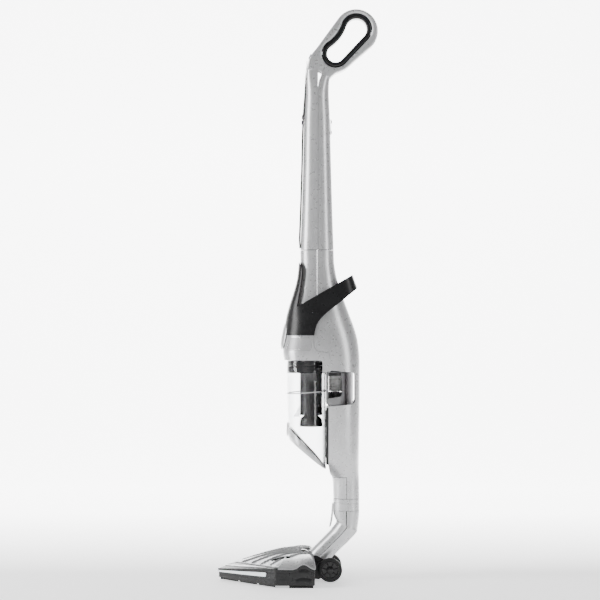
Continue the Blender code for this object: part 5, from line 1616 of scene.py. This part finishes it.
def neck():
    count = 56
    half = math.pi / 2 - 0.03
    rear = [-half + 2 * half * i / count for i in range(count + 1)]
    front = [a + math.pi for a in rear]
    for name, angles, node in (("elbow_back", rear, "elbow_rear_shell"),
                               ("elbow_front", front, "elbow_front_shell")):
        shell = solidify(grid(name, elbow_rows(angles)), WALL)
        dress(shell, "silver_plastic", [node], 30.0, 0.4)
    whole = [2 * math.pi * i / 112 for i in range(112)]
    rows = []
    top, bottom = NECK_TOP_Z - GAP / 2, COLLAR_BOTTOM_Z + GAP / 2
    for z, grow in ((top, 0.0), (top - 7.0, 0.0), (top - 7.5, -0.4), (top - 8.5, -0.4), (top - 9.0, 0.0),
                    (bottom, 0.0)):
        rows.append([(*ring_point(NECK_X - NECK_DEPTH, NECK_X + NECK_DEPTH, NECK_WIDTH, 2.2, a, grow),
                      z) for a in whole])
    collar = solidify(grid("neck_band", rows, closed=True), WALL)
    dress(collar, "silver_plastic", ["neck_collar"], 30.0, 0.5)
    shape = smooth_loop([(67.8, 148.0), (66.2, 147.0), (65.4, 138.0), (64.6, 128.0), (62.6, 114.0),
                         (60.8, 104.0),
                         (61.4, 102.4), (63.4, 104.0), (65.8, 111.0), (67.2, 118.0), (68.0, 130.0)], 5)
    lever = outline_solid("neck_lever", [shape], -9.0, 9.0, 0.7, 3)
    grooves = [rod("groove", (x, -6.5, z), (x, 6.5, z), 0.7, 16) for x,
               z in ((61.2, 110.0), (61.7, 113.0), (62.2, 116.0))]
    cut(lever, *grooves)
    dress(lever, "silver_plastic", ["neck_release_lever"], 36.0)


# ---------------------------------------------------------------- room, lights and camera
def backdrop():
    """A pale floor that curves up into a wall behind the object."""
    rows = []
    profile = [(-9.0, 0.0), (2.0, 0.0)] + [(2.0 + math.sin(a), 1.0 - math.cos(a)) for a in
                                           [math.pi / 2 * i / 24 for i in range(1, 25)]] + [(3.0, 8.0)]
    for y, z in profile:
        rows.append([(x * 1000.0, y * 1000.0, z * 1000.0) for x in (-9.0, 9.0)])
    obj = grid("studio_floor", rows)
    obj.data.materials.append(white_room())
    obj.data.shade_smooth()


def soft_light(name, place, target, size, power):
    data = bpy.data.lights.new(name, "AREA")
    data.shape = "RECTANGLE"
    data.size, data.size_y = size
    data.energy = power
    obj = bpy.data.objects.new(name, data)
    bpy.context.scene.collection.objects.link(obj)
    place, target = Vector(place), Vector(target)
    obj.matrix_world = Matrix.Translation(place) @ (target - place).to_track_quat("-Z",
        "Y").to_matrix().to_4x4()


def studio():
    world = bpy.data.worlds.new("white_room")
    world.use_nodes = True
    world.node_tree.nodes["Background"].inputs["Color"].default_value = (1.0, 1.0, 1.0, 1.0)
    world.node_tree.nodes["Background"].inputs["Strength"].default_value = 0.32
    bpy.context.scene.world = world
    middle = (0.0, 0.0, 0.55)
    soft_light("left_box", (-2.6, -0.8, 1.1), middle, (1.3, 2.8), 135.0)
    soft_light("right_box", (2.2, -1.6, 1.0), middle, (0.7, 2.6), 34.0)
    soft_light("top_box", (0.0, -0.4, 3.0), middle, (2.2, 2.2), 10.0)
    data = bpy.data.cameras.new("camera")
    data.lens = 130.13
    data.sensor_width = 36.0
    data.clip_end = 50.0
    camera = bpy.data.objects.new("camera", data)
    bpy.context.scene.collection.objects.link(camera)
    camera.matrix_world = Matrix.Translation((0.0044, -4.19, 0.540)) @ Matrix.Rotation(math.pi / 2, 4, "X")
    bpy.context.scene.camera = camera
    backdrop()


CAD_SLOT = {
    "battery_pack": "battery_wrap", "motor_can": "steel", "fan_rotor": "grey_plastic",
    "brush_motor": "steel", "motor_pinion": "steel", "suction_hose": "soft_black",
}


def dress_frame():
    """Gives the CAD nodes that stay in view their finish."""
    for name, obj in frame["nodes"].items():
        if obj.hide_render:
            continue
        look = CAD_SLOT.get(name)
        if look is None:
            print("CAD node still plain:", name)
            look = "black_plastic"
        obj.data.materials.clear()
        obj.data.materials.append(LOOKS[look])
        obj.data.shade_smooth()
        obj.data.set_sharp_from_angle(angle=math.radians(35.0))


def build():
    studio()
    handle()
    control_panel()
    rear_body()
    finger_recess()
    front_body()
    band()
    front_ring()
    grilles()
    front_button()
    bay_partitions()
    container()
    lid()
    cyclone()
    bow_and_filter()
    top_cover()
    nose()
    lamp_and_bumper()
    base()
    underside()
    roller()
    wheels()
    belt_and_motor()
    swivel_yoke()
    neck()
    dress_frame()


build()
